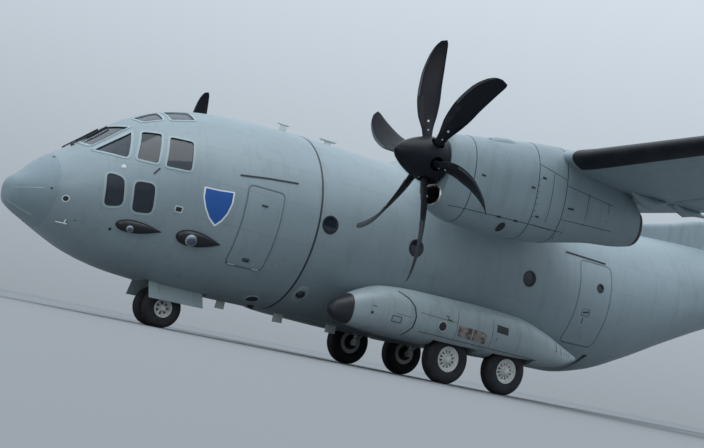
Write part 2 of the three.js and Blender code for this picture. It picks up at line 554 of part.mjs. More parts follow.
// Sponsons beside the belly, each with two wheel wells
const SPONSON = [
  { s: 5800, y: 1940, half: 20, top: -1490, low: -1530 },
  { s: 5870, y: 1935, half: 125, top: -1380, low: -1635 },
  { s: 6080, y: 1905, half: 235, top: -1255, low: -1730 },
  { s: 6450, y: 1820, half: 370, top: -1065, low: -1775 },
  { s: 7100, y: 1670, half: 545, top: -860, low: -1805 },
  { s: 7800, y: 1600, half: 650, top: -810, low: -1830 },
  { s: 9300, y: 1600, half: 665, top: -800, low: -1840 },
  { s: 10400, y: 1600, half: 650, top: -840, low: -1830 },
  { s: 11150, y: 1580, half: 560, top: -1000, low: -1790 },
  { s: 11800, y: 1560, half: 380, top: -1210, low: -1690 },
  { s: 12400, y: 1550, half: 90, top: -1380, low: -1480 },
];
for (const [side, word] of [[1, 'port'], [-1, 'starboard']]) {
  let sponson = loft(SPONSON.map((r) => {
    const ring = [];
    for (let i = 0; i < 20; i += 1) {
      const a = (2 * Math.PI * i) / 20;
      const c = Math.sign(Math.cos(a)) * Math.abs(Math.cos(a)) ** 0.8;
      const q = Math.sign(Math.sin(a)) * Math.abs(Math.sin(a)) ** 0.8;
      ring.push(new THREE.Vector3(at(r.s), side * (r.y + r.half * c), AXIS_Z + (r.top + r.low) / 2 + ((r.top - r.low) / 2) * q));
    }
    return ring;
  }), 'y', 'z').subtract(wholeBody);
  for (const s of MAIN_STATIONS) {
    sponson = sponson.subtract(block(at(s - 560), at(s + 560), side * 1395, side * 2110, AXIS_Z - 2000, AXIS_Z - 1080));
  }
  addPiece(`sponson_${word}`, sponson, paint);

  for (const [k, s] of MAIN_STATIONS.entries()) {
    const label = `${k ? 'rear' : 'front'}_${word}`;
    const y = (side * TRACK) / 2;
    const z = MAIN_TYRE.r;
    const strutY = side * 1545;
    addPiece(`main_leg_${label}`, rod(70, [at(s), strutY, z - 60], [at(s), strutY, AXIS_Z - 1080 - GAP], 12)
      .add(rod(45, [at(s), strutY, z], [at(s), y + side * 60, z], 16)), steel);
    const rim = [[46.1, -110], [248, -130], [248, 140], [205, 60], [70, 95], [0, 95], [0, 75], [46.1, 75]];
    addPiece(`main_wheel_${label}`, turned(rim.map(([r, d]) => [r, side * d]), 'y', [at(s), y, z], 24), hubPaint);
    const tyre = [[248 + GAP, -120], [330, -160], [420, -162], [495, -75], [495, 75], [420, 162], [330, 160], [248 + GAP, 120]];
    addPiece(`main_tyre_${label}`, turned(tyre, 'y', [at(s), y, z], 24), rubber);
  }
}

// Nose gear: fixed cylinder, steered piston, twin wheels on one axle
const noseX = at(NOSE_STATION);
addPiece('nose_leg', rod(85, [noseX, 0, AXIS_Z - 900 - GAP], [noseX, 0, AXIS_Z - 1830], 16), steel);
addPiece('nose_fork', rod(62, [noseX, 0, AXIS_Z - 1830 - GAP], [noseX, 0, NOSE_TYRE.r], 16)
  .add(rod(72, [noseX, -70, NOSE_TYRE.r], [noseX, 70, NOSE_TYRE.r], 16))
  .subtract(rod(34.6, [noseX, -200, NOSE_TYRE.r], [noseX, 200, NOSE_TYRE.r], 16)), steel);
let noseWheels = rod(34, [noseX, -230, NOSE_TYRE.r], [noseX, 230, NOSE_TYRE.r], 16);
for (const side of [1, -1]) {
  const y = side * 225;
  const rim = [[0, -60], [172, -105], [172, 110], [140, 40], [60, 70], [0, 70]];
  noseWheels = noseWheels.add(turned(rim.map(([r, d]) => [r, side * d]), 'y', [noseX, y, NOSE_TYRE.r], 24));
  const tyre = [[172 + GAP, -95], [235, -124], [310, -122], [368.5, -52], [368.5, 52], [310, 122], [235, 124], [172 + GAP, 95]];
  addPiece(`nose_tyre_${side > 0 ? 'port' : 'starboard'}`, turned(tyre, 'y', [noseX, y, NOSE_TYRE.r], 24), rubber);
}
addPiece('nose_wheels', noseWheels, hubPaint);
for (const [side, word] of [[1, 'port'], [-1, 'starboard']]) {
  const door = (s) => [[416, -1650], [430 - GAP, -1650], [430 - GAP, -1724], [582, -1990], [568, -1997], [416, -1730]].map(([y, z]) => new THREE.Vector3(at(s), side * y, AXIS_Z + z));
  addPiece(`nose_gear_door_${word}`, loft([door(2850), door(3950)], 'y', 'z'), paint);
}

// Rear fuselage with the doorways for the paratroop doors and the ramp
const RAMP = { s0: 13020, s1: 16100, half: 1225, z: FLOOR_Z };
const RAMP_SLOPE = Math.tan((21 * Math.PI) / 180);
const rampTop = (s) => RAMP.z + (s - 13170) * RAMP_SLOPE;
const UPPER_DOOR = { s0: RAMP.s1 + 20, s1: 19100, hingeZ: AXIS_Z + 720, hingeHalf: 560 };
const halfAt = (s) => Math.min(RAMP.half, smooth(BODY, 'half', s) - 330);
const tailOuter = bodyLoft([REAR_JOINT + GAP, ...TAIL_RINGS]);
const tailInner = bodyLoft([REAR_JOINT - 100, ...TAIL_RINGS.slice(0, -3)], WALL);
let rear = tailOuter.subtract(tailInner);
const DOORWAY = { s0: 12060, s1: 12990, z0: FLOOR_Z + 30, z1: AXIS_Z + 720 };
for (const [side, word] of [[1, 'port'], [-1, 'starboard']]) {
  rear = rear.subtract(block(at(DOORWAY.s0), at(DOORWAY.s1), side * 1000, side * 2000, DOORWAY.z0, DOORWAY.z1));
  const leaf = bodyLoft([12000, 12900, 13300]).subtract(bodyLoft([11990, 12900, 13310], WALL))
    .intersect(block(at(DOORWAY.s0 + 8), at(DOORWAY.s1 - 8), side * 1000, side * 2000, DOORWAY.z0 + GAP, DOORWAY.z1 - 8))
    .subtract(rod(88, [at(12660), side * 1000, AXIS_Z + 200], [at(12660), side * 2200, AXIS_Z + 200], 16));
  addPiece(`paratroop_door_${word}`, leaf, paint);
}
// Opening under the tail in plan, tapering with the fuselage
const planOf = (s0, s1, grow) => {
  const stops = [s0, (s0 + s1) / 2, s1];
  return [...stops.map((s) => [at(s), halfAt(s) + grow]), ...stops.reverse().map((s) => [at(s), -halfAt(s) - grow])];
};
rear = rear.subtract(prism(planOf(RAMP.s0 - 35, RAMP.s1, 12), ['x', 'y', 'z'], 500, AXIS_Z + 330));
// The upper door's front corners swing up between the frames ahead of its own opening
rear = rear.subtract(prism(planOf(UPPER_DOOR.s0 - 400, UPPER_DOOR.s1 + 35, 12), ['x', 'y', 'z'], 500, AXIS_Z + 1275));

// The ramp's rear face and the upper door's front edge follow one arc about the ramp hinge
const RAMP_HINGE = { s: RAMP.s0, z: AXIS_Z - 1700, reach: 3272, clear: 22 };
const arcPoint = (angle, r) => [at(RAMP_HINGE.s + r * Math.cos((angle * Math.PI) / 180)), RAMP_HINGE.z + r * Math.sin((angle * Math.PI) / 180)];
const ARC_TOP = 29.47; // degrees up to the ramp's top plane
const rampSide = prism([
  [at(13170), RAMP.z - 5], [at(RAMP.s0), AXIS_Z - 1600], [at(RAMP.s0), AXIS_Z - 1700], [at(RAMP.s0 + 30), AXIS_Z - 1900],
  ...[-3.5, 14, 18, 22, 26, ARC_TOP].map((a) => arcPoint(a, RAMP_HINGE.reach)),
], ['x', 'z', 'y'], -2000, 2000);
const ramp = tailOuter.intersect(rampSide).intersect(prism(planOf(RAMP.s0 - 10, RAMP.s1, 0), ['x', 'y', 'z'], 500, AXIS_Z + 330));
let rampDoor = ramp;
[rear, rampDoor] = knuckles(rear, rampDoor, hingeLine([at(RAMP.s0), -330, AXIS_Z - 1700], [at(RAMP.s0), 330, AXIS_Z - 1700]), 45, [[0, 100, 200], [660, 560, 460]]);
addPiece('cargo_ramp', rampDoor, paint);

const upper = tailOuter.subtract(bodyLoft(TAIL_RINGS.slice(0, -3), 90))
  .intersect(prism(planOf(UPPER_DOOR.s0 - 300, UPPER_DOOR.s1, 0), ['x', 'y', 'z'], 500, AXIS_Z + 1150))
  .subtract(prism([[at(RAMP_HINGE.s), RAMP_HINGE.z], ...[-3.5, 2, 6, 10, 14, 18, 22, 26, 30, 34, 38].map((a) => arcPoint(a, RAMP_HINGE.reach + RAMP_HINGE.clear))],
    ['x', 'z', 'y'], -2000, 2000));
let upperDoor = upper;
[rear, upperDoor] = knuckles(rear, upperDoor, hingeLine([at(UPPER_DOOR.s1), -UPPER_DOOR.hingeHalf, UPPER_DOOR.hingeZ],
  [at(UPPER_DOOR.s1), UPPER_DOOR.hingeHalf, UPPER_DOOR.hingeZ]), 42, [[0, 50, 100], [1120, 1070, 1020]]);
addPiece('upper_cargo_door', upperDoor, paint);

// Cargo floor and flight deck
const floorBlank = bodyLoft([3400, 4000, 5500, 12900, 13300], WALL + GAP);
addPiece('cargo_floor', floorBlank.intersect(block(at(3600), at(13110), -1400, 1400, FLOOR_Z - 110, FLOOR_Z)), floorMetal);
const deckStations = [930, 1200, 1450, 1700, 1950, 2200, 2500, 2900, 3400, 4000];
const deckBlank = bodyLoft(deckStations, WALL + GAP);
const deckInside = bodyLoft(deckStations, WALL + 14 + GAP);
addPiece('flight_deck', deckBlank.intersect(block(at(1050), at(3590), -1500, 1500, AXIS_Z - 900, AXIS_Z - 820))
  .add(deckInside.intersect(block(at(1150), at(1500), -1100, 1100, AXIS_Z - 850, AXIS_Z - 20)))
  .add(deckInside.intersect(block(at(1500), at(2300), -180, 180, AXIS_Z - 850, AXIS_Z - 450))), floorMetal);

// Tail surfaces
const FIN = { rootZ: AXIS_Z + 1950, tipZ: HEIGHT, rootS: 16950, rootC: 4880, tipS: 20560, tipC: 2140, t: 0.12, hinge: 0.66 };
const TAILPLANE = { z: AXIS_Z + 2180, half: 6200, rootS: 18700, rootC: 2900, tipS: 19700, tipC: 1500, t: 0.12, hinge: 0.68, inner: 820 };
const finAt = (z) => {
  const k = (z - FIN.rootZ) / (FIN.tipZ - FIN.rootZ);
  return { s: FIN.rootS + (FIN.tipS - FIN.rootS) * k, c: FIN.rootC + (FIN.tipC - FIN.rootC) * k };
};
const finSection = (z, options) => {
  const { s, c } = finAt(z);
  return foil({ chord: c, t: FIN.t, ...options }).map(([d, h]) => new THREE.Vector3(at(s) - d, h, z));
};
const tailAt = (y) => {
  const k = Math.abs(y) / TAILPLANE.half;
  return { s: TAILPLANE.rootS + (TAILPLANE.tipS - TAILPLANE.rootS) * k, c: TAILPLANE.rootC + (TAILPLANE.tipC - TAILPLANE.rootC) * k };
};
const tailSection = (y, options) => {
  const { s, c } = tailAt(y);
  return foil({ chord: c, t: TAILPLANE.t, ...options }).map(([d, h]) => new THREE.Vector3(at(s) - d, y, TAILPLANE.z + h));
};
const RUDDER_Z0 = TAILPLANE.z + 260;
const RUDDER_DROP = 45; // room below the rudder's foot, whose corner dips as it turns on the raked hinge
let fin = loft([finSection(FIN.rootZ, {}), finSection(FIN.tipZ, {})], 'x', 'y');
const filletRows = [
  { s: 13750, half: 40, top: 1880 },
  { s: 15000, half: 90, top: 2190 },
  { s: 16300, half: 140, top: 2510 },
  { s: 17600, half: 190, top: 2830 },
  { s: 17900, half: 190, top: 2500 },
];
fin = fin.add(loft(filletRows.map((r) => [[r.half, 1700], [r.half, r.top - 120], [r.half * 0.45, r.top], [-r.half * 0.45, r.top], [-r.half, r.top - 120], [-r.half, 1700]]
  .map(([y, z]) => new THREE.Vector3(at(r.s), y, AXIS_Z + z))), 'y', 'z'));
const tailClear = loft([-6200, 0, 6200].map((y) => tailSection(y, { grow: 2 * GAP })), 'x', 'z');
fin = fin.subtract(wholeBody).subtract(tailClear).subtract(block(at(18600), at(22700), -600, 600, AXIS_Z + 1500, TAILPLANE.z + 3));
const rudderEdge = (z) => {
  const { s, c } = finAt(z);
  return at(s + FIN.hinge * c) + thickness(FIN.hinge, FIN.t) * c + 12;
};
fin = fin.subtract(prism([[rudderEdge(RUDDER_Z0 - RUDDER_DROP), RUDDER_Z0 - RUDDER_DROP], [rudderEdge(HEIGHT + 50), HEIGHT + 50],
  [-13000, HEIGHT + 50], [-13000, RUDDER_Z0 - RUDDER_DROP]], ['x', 'z', 'y'], -500, 500));
const finHinge = (z) => [at(finAt(z).s + FIN.hinge * finAt(z).c), 0, z];
let rudder = loft([RUDDER_Z0, HEIGHT].map((z) => finSection(z, { from: FIN.hinge, nose: true })), 'x', 'y');
[fin, rudder] = brackets(fin, rudder, hingeLine(finHinge(RUDDER_Z0), finHinge(HEIGHT)), AHEAD, [0.14, 0.82],
  (share) => thickness(FIN.hinge, FIN.t) * finAt(RUDDER_Z0 + (HEIGHT - RUDDER_Z0) * share).c);
addPiece('fin', fin, paint);
addPiece('rudder', rudder, paint);

let tailplane = loft([-TAILPLANE.half, 0, TAILPLANE.half].map((y) => tailSection(y, {})), 'x', 'z');
for (const side of [1, -1]) {
  const edge = (y) => {
    const { s, c } = tailAt(y);
    return at(s + TAILPLANE.hinge * c) + thickness(TAILPLANE.hinge, TAILPLANE.t) * c + 12;
  };
  const y0 = side * TAILPLANE.inner;
  const y1 = side * (TAILPLANE.half - 120);
  tailplane = tailplane.subtract(prism([[edge(y0), y0], [edge(y1), y1], [-13000, y1], [-13000, y0]], ['x', 'y', 'z'], 4000, 5500));
  const ends = [y0 + side * 12, y1 - side * 12];
  const blank = loft(ends.map((y) => tailSection(y, { from: TAILPLANE.hinge, nose: true })), 'x', 'z');
  const point = (y) => [at(tailAt(y).s + TAILPLANE.hinge * tailAt(y).c), y, TAILPLANE.z];
  const [f, m] = brackets(tailplane, blank, hingeLine(point(ends[0]), point(ends[1])), AHEAD, [0.14, 0.84],
    (share) => thickness(TAILPLANE.hinge, TAILPLANE.t) * tailAt(ends[0] + (ends[1] - ends[0]) * share).c);
  tailplane = f;
  addPiece(`elevator_${side > 0 ? 'port' : 'starboard'}`, m, paint);
}
addPiece('tailplane', tailplane, paint);
addPiece('rear_fuselage', rear.subtract(tailClear), paint);

export default plane;
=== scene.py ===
from math import copysign, cos, pi, radians, sin, sqrt, tan

import bmesh
import bpy
from mathutils import Matrix, Vector


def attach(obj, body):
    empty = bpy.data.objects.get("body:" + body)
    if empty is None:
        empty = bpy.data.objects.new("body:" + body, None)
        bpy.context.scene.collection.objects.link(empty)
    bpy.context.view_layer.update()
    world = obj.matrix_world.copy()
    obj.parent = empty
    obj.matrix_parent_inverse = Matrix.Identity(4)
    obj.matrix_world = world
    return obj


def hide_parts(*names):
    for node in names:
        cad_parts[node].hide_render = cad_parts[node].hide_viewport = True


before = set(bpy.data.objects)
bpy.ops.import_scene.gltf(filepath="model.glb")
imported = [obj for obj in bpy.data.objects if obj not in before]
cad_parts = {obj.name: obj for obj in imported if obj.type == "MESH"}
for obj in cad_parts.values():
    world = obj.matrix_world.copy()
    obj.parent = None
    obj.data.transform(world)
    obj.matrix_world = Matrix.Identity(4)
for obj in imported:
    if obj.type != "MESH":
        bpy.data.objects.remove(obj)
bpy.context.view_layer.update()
bpy.ops.object.select_all(action="DESELECT")

# Studio
# A pale painted floor under an even, overcast light, and a low camera
# that stands on the apron ahead of the port wing and looks slightly up.
bpy.ops.mesh.primitive_plane_add(size=900)
floor = bpy.context.object
floor.name = "apron_floor"
apron = bpy.data.materials.new("pale_apron")
apron.use_nodes = True
apron.node_tree.nodes["Principled BSDF"].inputs["Base Color"].default_value = (0.24, 0.25, 0.26, 1)
apron.node_tree.nodes["Principled BSDF"].inputs["Roughness"].default_value = 0.9
floor.data.materials.append(apron)

LENS_PX = 1140.0
camera_data = bpy.data.cameras.new("apron_camera")
camera_data.sensor_width = 36
camera_data.lens = LENS_PX * 36 / 704
camera_data.clip_end = 2000
camera = bpy.data.objects.new("apron_camera", camera_data)
bpy.context.scene.collection.objects.link(camera)
bpy.context.scene.camera = camera
CAMERA_AT = Vector((16.46, 20.11, 0.14))
LOOK_AZ, LOOK_EL, LOOK_ROLL = radians(58.65), radians(-6.6), radians(11.3)
back = Vector((cos(LOOK_EL) * cos(LOOK_AZ), cos(LOOK_EL) * sin(LOOK_AZ), sin(LOOK_EL)))
level = Vector((0, 0, 1)).cross(back).normalized()
upright = back.cross(level)
right = level * cos(LOOK_ROLL) + upright * sin(LOOK_ROLL)
up = upright * cos(LOOK_ROLL) - level * sin(LOOK_ROLL)
camera.matrix_world = Matrix.Translation(CAMERA_AT) @ Matrix((right, up, back)).transposed().to_4x4()


def lamp(name, place, target, size, power, colour):
    data = bpy.data.lights.new(name, "AREA")
    data.shape = "DISK"
    data.size, data.energy, data.color = size, power, colour
    light = bpy.data.objects.new(name, data)
    bpy.context.scene.collection.objects.link(light)
    light.location = place
    light.rotation_euler = (Vector(target) - Vector(place)).to_track_quat("-Z", "Y").to_euler()


lamp("sky_panel", (6, 10, 34), (2, 0, 2), 30, 3600, (1.0, 0.99, 0.97))
lamp("bow_panel", (40, 22, 13), (5, 0, 2.5), 14, 1500, (1.0, 0.97, 0.93))
HORIZON_LIGHT, ZENITH_LIGHT = 0.40, 1.6
sky = bpy.data.worlds.new("overcast")
bpy.context.scene.world = sky
sky.use_nodes = True
air = sky.node_tree
height = air.nodes.new("ShaderNodeSeparateXYZ")
air.links.new(air.nodes.new("ShaderNodeTexCoord").outputs["Generated"], height.inputs[0])
climb = air.nodes.new("ShaderNodeMapRange")  # pale at the horizon, brightest overhead
climb.inputs[3].default_value, climb.inputs[4].default_value = HORIZON_LIGHT, ZENITH_LIGHT
air.links.new(height.outputs[2], climb.inputs[0])
air.links.new(climb.outputs[0], air.nodes["Background"].inputs[1])
air.nodes["Background"].inputs[0].default_value = (0.80, 0.90, 1.0, 1)
bpy.context.scene.view_settings.view_transform = "Standard"
bpy.context.scene.view_settings.look = "None"

# Fuselage
# The pressure hull is a riveted aluminium tube, painted satin grey-green,
# drawn over ring frames: a long round middle, a drooped nose, a swept-up
# tail.  Its skins are made in four lengths, joined at the frames.
BOW = 11.35  # frame X of the nose tip: X = BOW - station
AXIS = 2.5  # height of the tube's axis
HULL = [
    # station, half width, crown, keel and widest height from the axis
    (0.0, 0.06, -0.545, -0.655, -0.60),
    (0.05, 0.30, -0.44, -0.857, -0.61),
    (0.2, 0.60, -0.30, -0.975, -0.58),
    (0.5, 0.93, 0.024, -1.125, -0.52),
    (0.9, 1.20, 0.331, -1.32, -0.44),
    (1.25, 1.37, 0.613, -1.471, -0.35),
    (1.7, 1.52, 1.015, -1.60, -0.24),
    (2.15, 1.62, 1.294, -1.68, -0.14),
    (2.6, 1.695, 1.477, -1.721, -0.07),
    (3.2, 1.75, 1.625, -1.765, -0.03),
    (4.0, 1.775, 1.720, -1.775, 0.0),
    (5.35, 1.775, 1.775, -1.775, 0.0),
    (12.9, 1.775, 1.775, -1.775, 0.0),
    (13.8, 1.765, 1.835, -1.61, 0.06),
    (14.6, 1.72, 1.90, -1.29, 0.17),
    (16.0, 1.56, 2.005, -0.64, 0.46),
    (17.5, 1.29, 2.085, -0.02, 0.85),
    (19.0, 0.93, 2.095, 0.49, 1.19),
    (20.5, 0.56, 2.01, 0.90, 1.42),
    (21.5, 0.26, 1.85, 1.21, 1.53),
    (21.9, 0.08, 1.65, 1.43, 1.54),
]
RADOME_END, NOSE_JOINT, TAIL_JOINT, TAIL_END = 0.648, 5.37, 11.9, 21.9
HULL_POINTS = 96


def at(s, y, z):
    """A place by station, offset to port and height from the tube's axis."""
    return Vector((BOW - s, y, AXIS + z))


def turns(count):
    return [2 * pi * i / count for i in range(count)]


def fair_curve(rows, column):
    """A lines-plan curve through one column of a table, with no overshoot."""
    xs, ys = [r[0] for r in rows], [r[column] for r in rows]
    gaps = [b - a for a, b in zip(xs, xs[1:])]
    rise = [(b - a) / g for a, b, g in zip(ys, ys[1:], gaps)]
    slopes = [rise[0]]
    for i in range(1, len(rise)):
        if rise[i - 1] * rise[i] <= 0:
            slopes.append(0.0)
        else:
            a, b = 2 * gaps[i] + gaps[i - 1], gaps[i] + 2 * gaps[i - 1]
            slopes.append((a + b) / (a / rise[i - 1] + b / rise[i]))
    slopes.append(rise[-1])

    def reading(s):
        if s <= xs[0]:
            return ys[0]
        if s >= xs[-1]:
            return ys[-1]
        k = max(i for i in range(len(xs) - 1) if xs[i] <= s)
        t = (s - xs[k]) / gaps[k]
        return ((1 + 2 * t) * (1 - t) ** 2 * ys[k] + t * (1 - t) ** 2 * gaps[k] * slopes[k]
                + t * t * (3 - 2 * t) * ys[k + 1] + t * t * (t - 1) * gaps[k] * slopes[k + 1])

    return reading


hull_half, hull_crown, hull_keel, hull_widest = (fair_curve(HULL, k) for k in (1, 2, 3, 4))


def hull_ring(s, inset=0.0):
    half = max(hull_half(s) - inset, 0.004)
    widest = hull_widest(s)
    above = max(hull_crown(s) - inset - widest, 0.004)
    below = max(widest - hull_keel(s) - inset, 0.004)
    return [at(s, half * cos(a), widest + (above if sin(a) >= 0 else below) * sin(a))
            for a in turns(HULL_POINTS)]


def draw_rings(name, rings, ends="cap"):
    """A skin drawn ring by ring: one circle, extruded from template to template."""
    count = len(rings[0])
    bpy.ops.mesh.primitive_circle_add(vertices=count, radius=1)
    piece = bpy.context.object
    piece.name = piece.data.name = name
    bpy.ops.object.mode_set(mode="EDIT")
    shell = bmesh.from_edit_mesh(piece.data)
    seat = shell.verts.layers.int.new("seat")
    for i, v in enumerate(shell.verts):
        v[seat] = i
    for number, ring in enumerate(rings):
        if number:
            bpy.ops.mesh.select_all(action="DESELECT")
            shell = bmesh.from_edit_mesh(piece.data)
            shell.verts.ensure_lookup_table()
            shell.select_mode = {"VERT", "EDGE"}
            for v in shell.verts[-count:]:
                v.select = True
            shell.select_flush_mode()
            bpy.ops.mesh.extrude_edges_move()
            shell = bmesh.from_edit_mesh(piece.data)
            seat = shell.verts.layers.int["seat"]
        shell.verts.ensure_lookup_table()
        for v in shell.verts[-count:]:
            v.co = ring[v[seat]]
        bmesh.update_edit_mesh(piece.data)
    if ends == "cap":
        for last in (False, True):
            shell = bmesh.from_edit_mesh(piece.data)
            seat = shell.verts.layers.int["seat"]
            for v in shell.verts:
                v.select = False
            shell.select_flush(False)
            shell.verts.ensure_lookup_table()
            row = shell.verts[-count:] if last else shell.verts[:count]
            order = sorted(row, key=lambda v: v[seat])
            if len({tuple(round(c, 5) for c in v.co) for v in order}) > 2:
                shell.faces.new(order)
        bmesh.update_edit_mesh(piece.data)
    bpy.ops.mesh.select_all(action="SELECT")
    bpy.ops.mesh.remove_doubles(threshold=0.00002)
    bpy.ops.mesh.normals_make_consistent(inside=False)
    bpy.ops.object.mode_set(mode="OBJECT")
    piece.data.attributes.remove(piece.data.attributes["seat"])
    return piece


def hull_form(name, stations, inset=0.0, ends="cap"):
    """A length of the hull's form, or of the room inside it."""
    return draw_rings(name, [hull_ring(s, inset) for s in stations], ends)


def new_finish(name):
    finish = bpy.data.materials.new(name)
    finish.use_nodes = True
    tree = finish.node_tree
    tree.nodes.clear()
    out = tree.nodes.new("ShaderNodeOutputMaterial")
    shader = tree.nodes.new("ShaderNodeBsdfPrincipled")
    tree.links.new(shader.outputs[0], out.inputs[0])
    return finish, tree, shader


def put(tree, kind, wires=(), **settings):
    """One node of a finish, with its inputs given as values or as other nodes' outputs."""
    made = tree.nodes.new("ShaderNode" + kind)
    for key, value in settings.items():
        setattr(made, key, value)
    for where, what in wires:
        if isinstance(what, bpy.types.NodeSocket):
            tree.links.new(what, made.inputs[where])
        else:
            made.inputs[where].default_value = what
    return made


def calc(tree, operation, *values):
    return put(tree, "Math", list(enumerate(values)), operation=operation).outputs[0]


def grain(tree, where, scale, detail, rough=0.5):
    wires = [("Vector", where), ("Scale", scale), ("Detail", detail), ("Roughness", rough)]
    return put(tree, "TexNoise", wires).outputs[0]


def span_map(tree, value, *limits):
    """A value's span laid on another: its low and high end, then the new ones."""
    return put(tree, "MapRange", [(0, value)] + list(enumerate(limits, 1))).outputs[0]


def blend(tree, share, first, second):
    return put(tree, "Mix", [(0, share), (6, first), (7, second)], data_type="RGBA").outputs[2]


def darker(colour, share):
    return tuple(c * share for c in colour[:3]) + (1,)


def srgb(r, g, b):
    return tuple(((c / 255 + 0.055) / 1.055) ** 2.4 if c > 10 else c / 3294 for c in (r, g, b)) + (1.0,)


def grid_lines(tree, value, pitch, start, width):
    """1 on lines at an even pitch along a value, 0 between them."""
    t = calc(tree, "DIVIDE", calc(tree, "SUBTRACT", value, start), pitch)
    off = calc(tree, "ABSOLUTE", calc(tree, "SUBTRACT", calc(tree, "FRACT", t), 0.5))
    near = calc(tree, "MULTIPLY", calc(tree, "SUBTRACT", 0.5, off), pitch)
    return span_map(tree, near, width * 0.45, width, 1.0, 0.0)


def emboss(tree, shader, height, strength, depth):
    relief = put(tree, "Bump", [("Strength", strength), ("Distance", depth), ("Height", height)]).outputs[0]
    tree.links.new(relief, shader.inputs["Normal"])


def service_paint(name, colour, lines=(), rough=0.42, grime=0.35, soil=0.25, tone=0.5):
    """Satin service paint on riveted sheet: mottled tone, rain streaks and
    faint sheet joints. lines are (axis, pitch, start): X, Y, Z or R, round the tube's axis."""
    finish, tree, shader = new_finish(name)
    place = put(tree, "TexCoord").outputs["Object"]
    x, y, z = put(tree, "SeparateXYZ", [(0, place)]).outputs
    run = put(tree, "Mapping", [(0, place), (3, (5.0, 5.0, 0.45))]).outputs[0]
    patch, streak = grain(tree, place, 0.9, 4.0, 0.6), grain(tree, run, 1.0, 5.0, 0.65)
    fine, speck = grain(tree, place, 26.0, 4.0), grain(tree, place, 7.0, 6.0, 0.7)
    light = span_map(tree, patch, 0.3, 0.7, 1 - 0.12 * tone, 1 + 0.10 * tone)
    dark = span_map(tree, streak, 0.52, 0.74, 0.0, grime)
    spots = span_map(tree, speck, 0.60, 0.74, 0.0, soil)
    seams = None
    for axis, pitch, start in lines:
        value = {"X": x, "Y": y, "Z": z}.get(axis)
        if value is None:
            value = calc(tree, "ARCTAN2", calc(tree, "SUBTRACT", z, AXIS), y)
        line = grid_lines(tree, value, pitch, start, 0.011 if axis != "R" else 0.006)
        seams = line if seams is None else calc(tree, "MAXIMUM", seams, line)
    wires = [("Color", colour), ("Value", light), ("Saturation", 1.0)]
    lit = put(tree, "HueSaturation", wires).outputs[0]
    grimy = blend(tree, dark, lit, darker(colour, 0.42))
    soiled = blend(tree, spots, grimy, darker(colour, 0.55))
    height = calc(tree, "MULTIPLY", grain(tree, place, 2.6, 1.0), 0.9)
    height = calc(tree, "ADD", height, calc(tree, "MULTIPLY", fine, 0.05))
    if seams is not None:
        worn = calc(tree, "MULTIPLY", seams, calc(tree, "MULTIPLY", patch, 0.26))
        soiled = blend(tree, worn, soiled, darker(colour, 0.28))
        height = calc(tree, "SUBTRACT", height, calc(tree, "MULTIPLY", seams, 0.13))
    tree.links.new(soiled, shader.inputs["Base Color"])
    gloss = calc(tree, "ADD", calc(tree, "MULTIPLY", speck, 0.16), rough - 0.08)
    tree.links.new(gloss, shader.inputs["Roughness"])
    emboss(tree, shader, height, 0.32, 0.012)
    return finish


def dress(piece, finish, body="airframe", stands_for=(), angle=38):
    """Gives a finished piece its material, soft shading and body, and hides the parts it stands for."""
    piece.data.materials.clear()
    piece.data.materials.append(finish)
    bpy.ops.object.select_all(action="DESELECT")
    bpy.context.view_layer.objects.active = piece
    piece.select_set(True)
    bpy.ops.object.shade_smooth_by_angle(angle=radians(angle))
    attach(piece, body)
    if stands_for:
        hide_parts(*([stands_for] if isinstance(stands_for, str) else stands_for))
    return piece


GREY = srgb(134, 149, 155)
hull_paint = service_paint(
    "hull_paint", GREY, lines=[("X", 0.82, 0.18), ("R", 0.3927, 0.12)], grime=0.22, soil=0.18
)
radome_paint = service_paint("radome_paint", srgb(124, 142, 149), rough=0.46, grime=0.15)
dark_trim = service_paint("dark_trim", srgb(30, 34, 40), rough=0.5, grime=0.1)
line_paint = service_paint("line_paint", srgb(44, 52, 56), rough=0.55, grime=0.1)
seam_paint = service_paint("seam_paint", srgb(82, 95, 101), rough=0.5, grime=0.1)

RADOME_STATIONS = [
    0, 0.008, 0.02, 0.035, 0.055, 0.08, 0.11, 0.15, 0.2, 0.26, 0.33, 0.41, 0.5, 0.58, RADOME_END
]
radome = hull_form("radome_shell", RADOME_STATIONS)
dress(radome, radome_paint, stands_for="radome", angle=60)

# Nose skin
# The nose skin runs from the radome bulkhead to the first body joint, with
# the windows, the crew door and the nose gear bay cut in it.
WALL = 0.11


def modify(piece, kind, **settings):
    """Adds one modifier and applies it."""
    bpy.ops.object.select_all(action="DESELECT")
    bpy.context.view_layer.objects.active = piece
    piece.select_set(True)
    bpy.ops.object.modifier_add(type=kind)
    step = piece.modifiers[-1]
    for key, value in settings.items():
        setattr(step, key, value)
    bpy.ops.object.modifier_apply(modifier=step.name)
    return piece


def wall_up(shell, thick):
    """Gives an open skin its thickness, on the inside."""
    return modify(shell, "SOLIDIFY", thickness=thick, offset=-1, use_even_offset=False)


def join(name, parts):
    bpy.ops.object.select_all(action="DESELECT")
    for part in parts:
        part.select_set(True)
    bpy.context.view_layer.objects.active = parts[0]
    if len(parts) > 1:
        bpy.ops.object.join()
    whole = bpy.context.object
    whole.name = whole.data.name = name
    return whole


def carve(piece, cutters, operation="DIFFERENCE"):
    """Cuts a piece with one or more closed cutters, which are used up."""
    cutter = join("cutter", cutters)
    modify(piece, "BOOLEAN", operation=operation, object=cutter, solver="EXACT")
    bpy.data.objects.remove(cutter)
    return piece


def block(low, high, name="block"):
    centre = [(a + b) / 2 for a, b in zip(low, high)]
    bpy.ops.mesh.primitive_cube_add(size=1, location=centre, scale=[abs(b - a) for a, b in zip(low, high)])
    bpy.ops.object.transform_apply()
    bpy.context.object.name = name
    return bpy.context.object


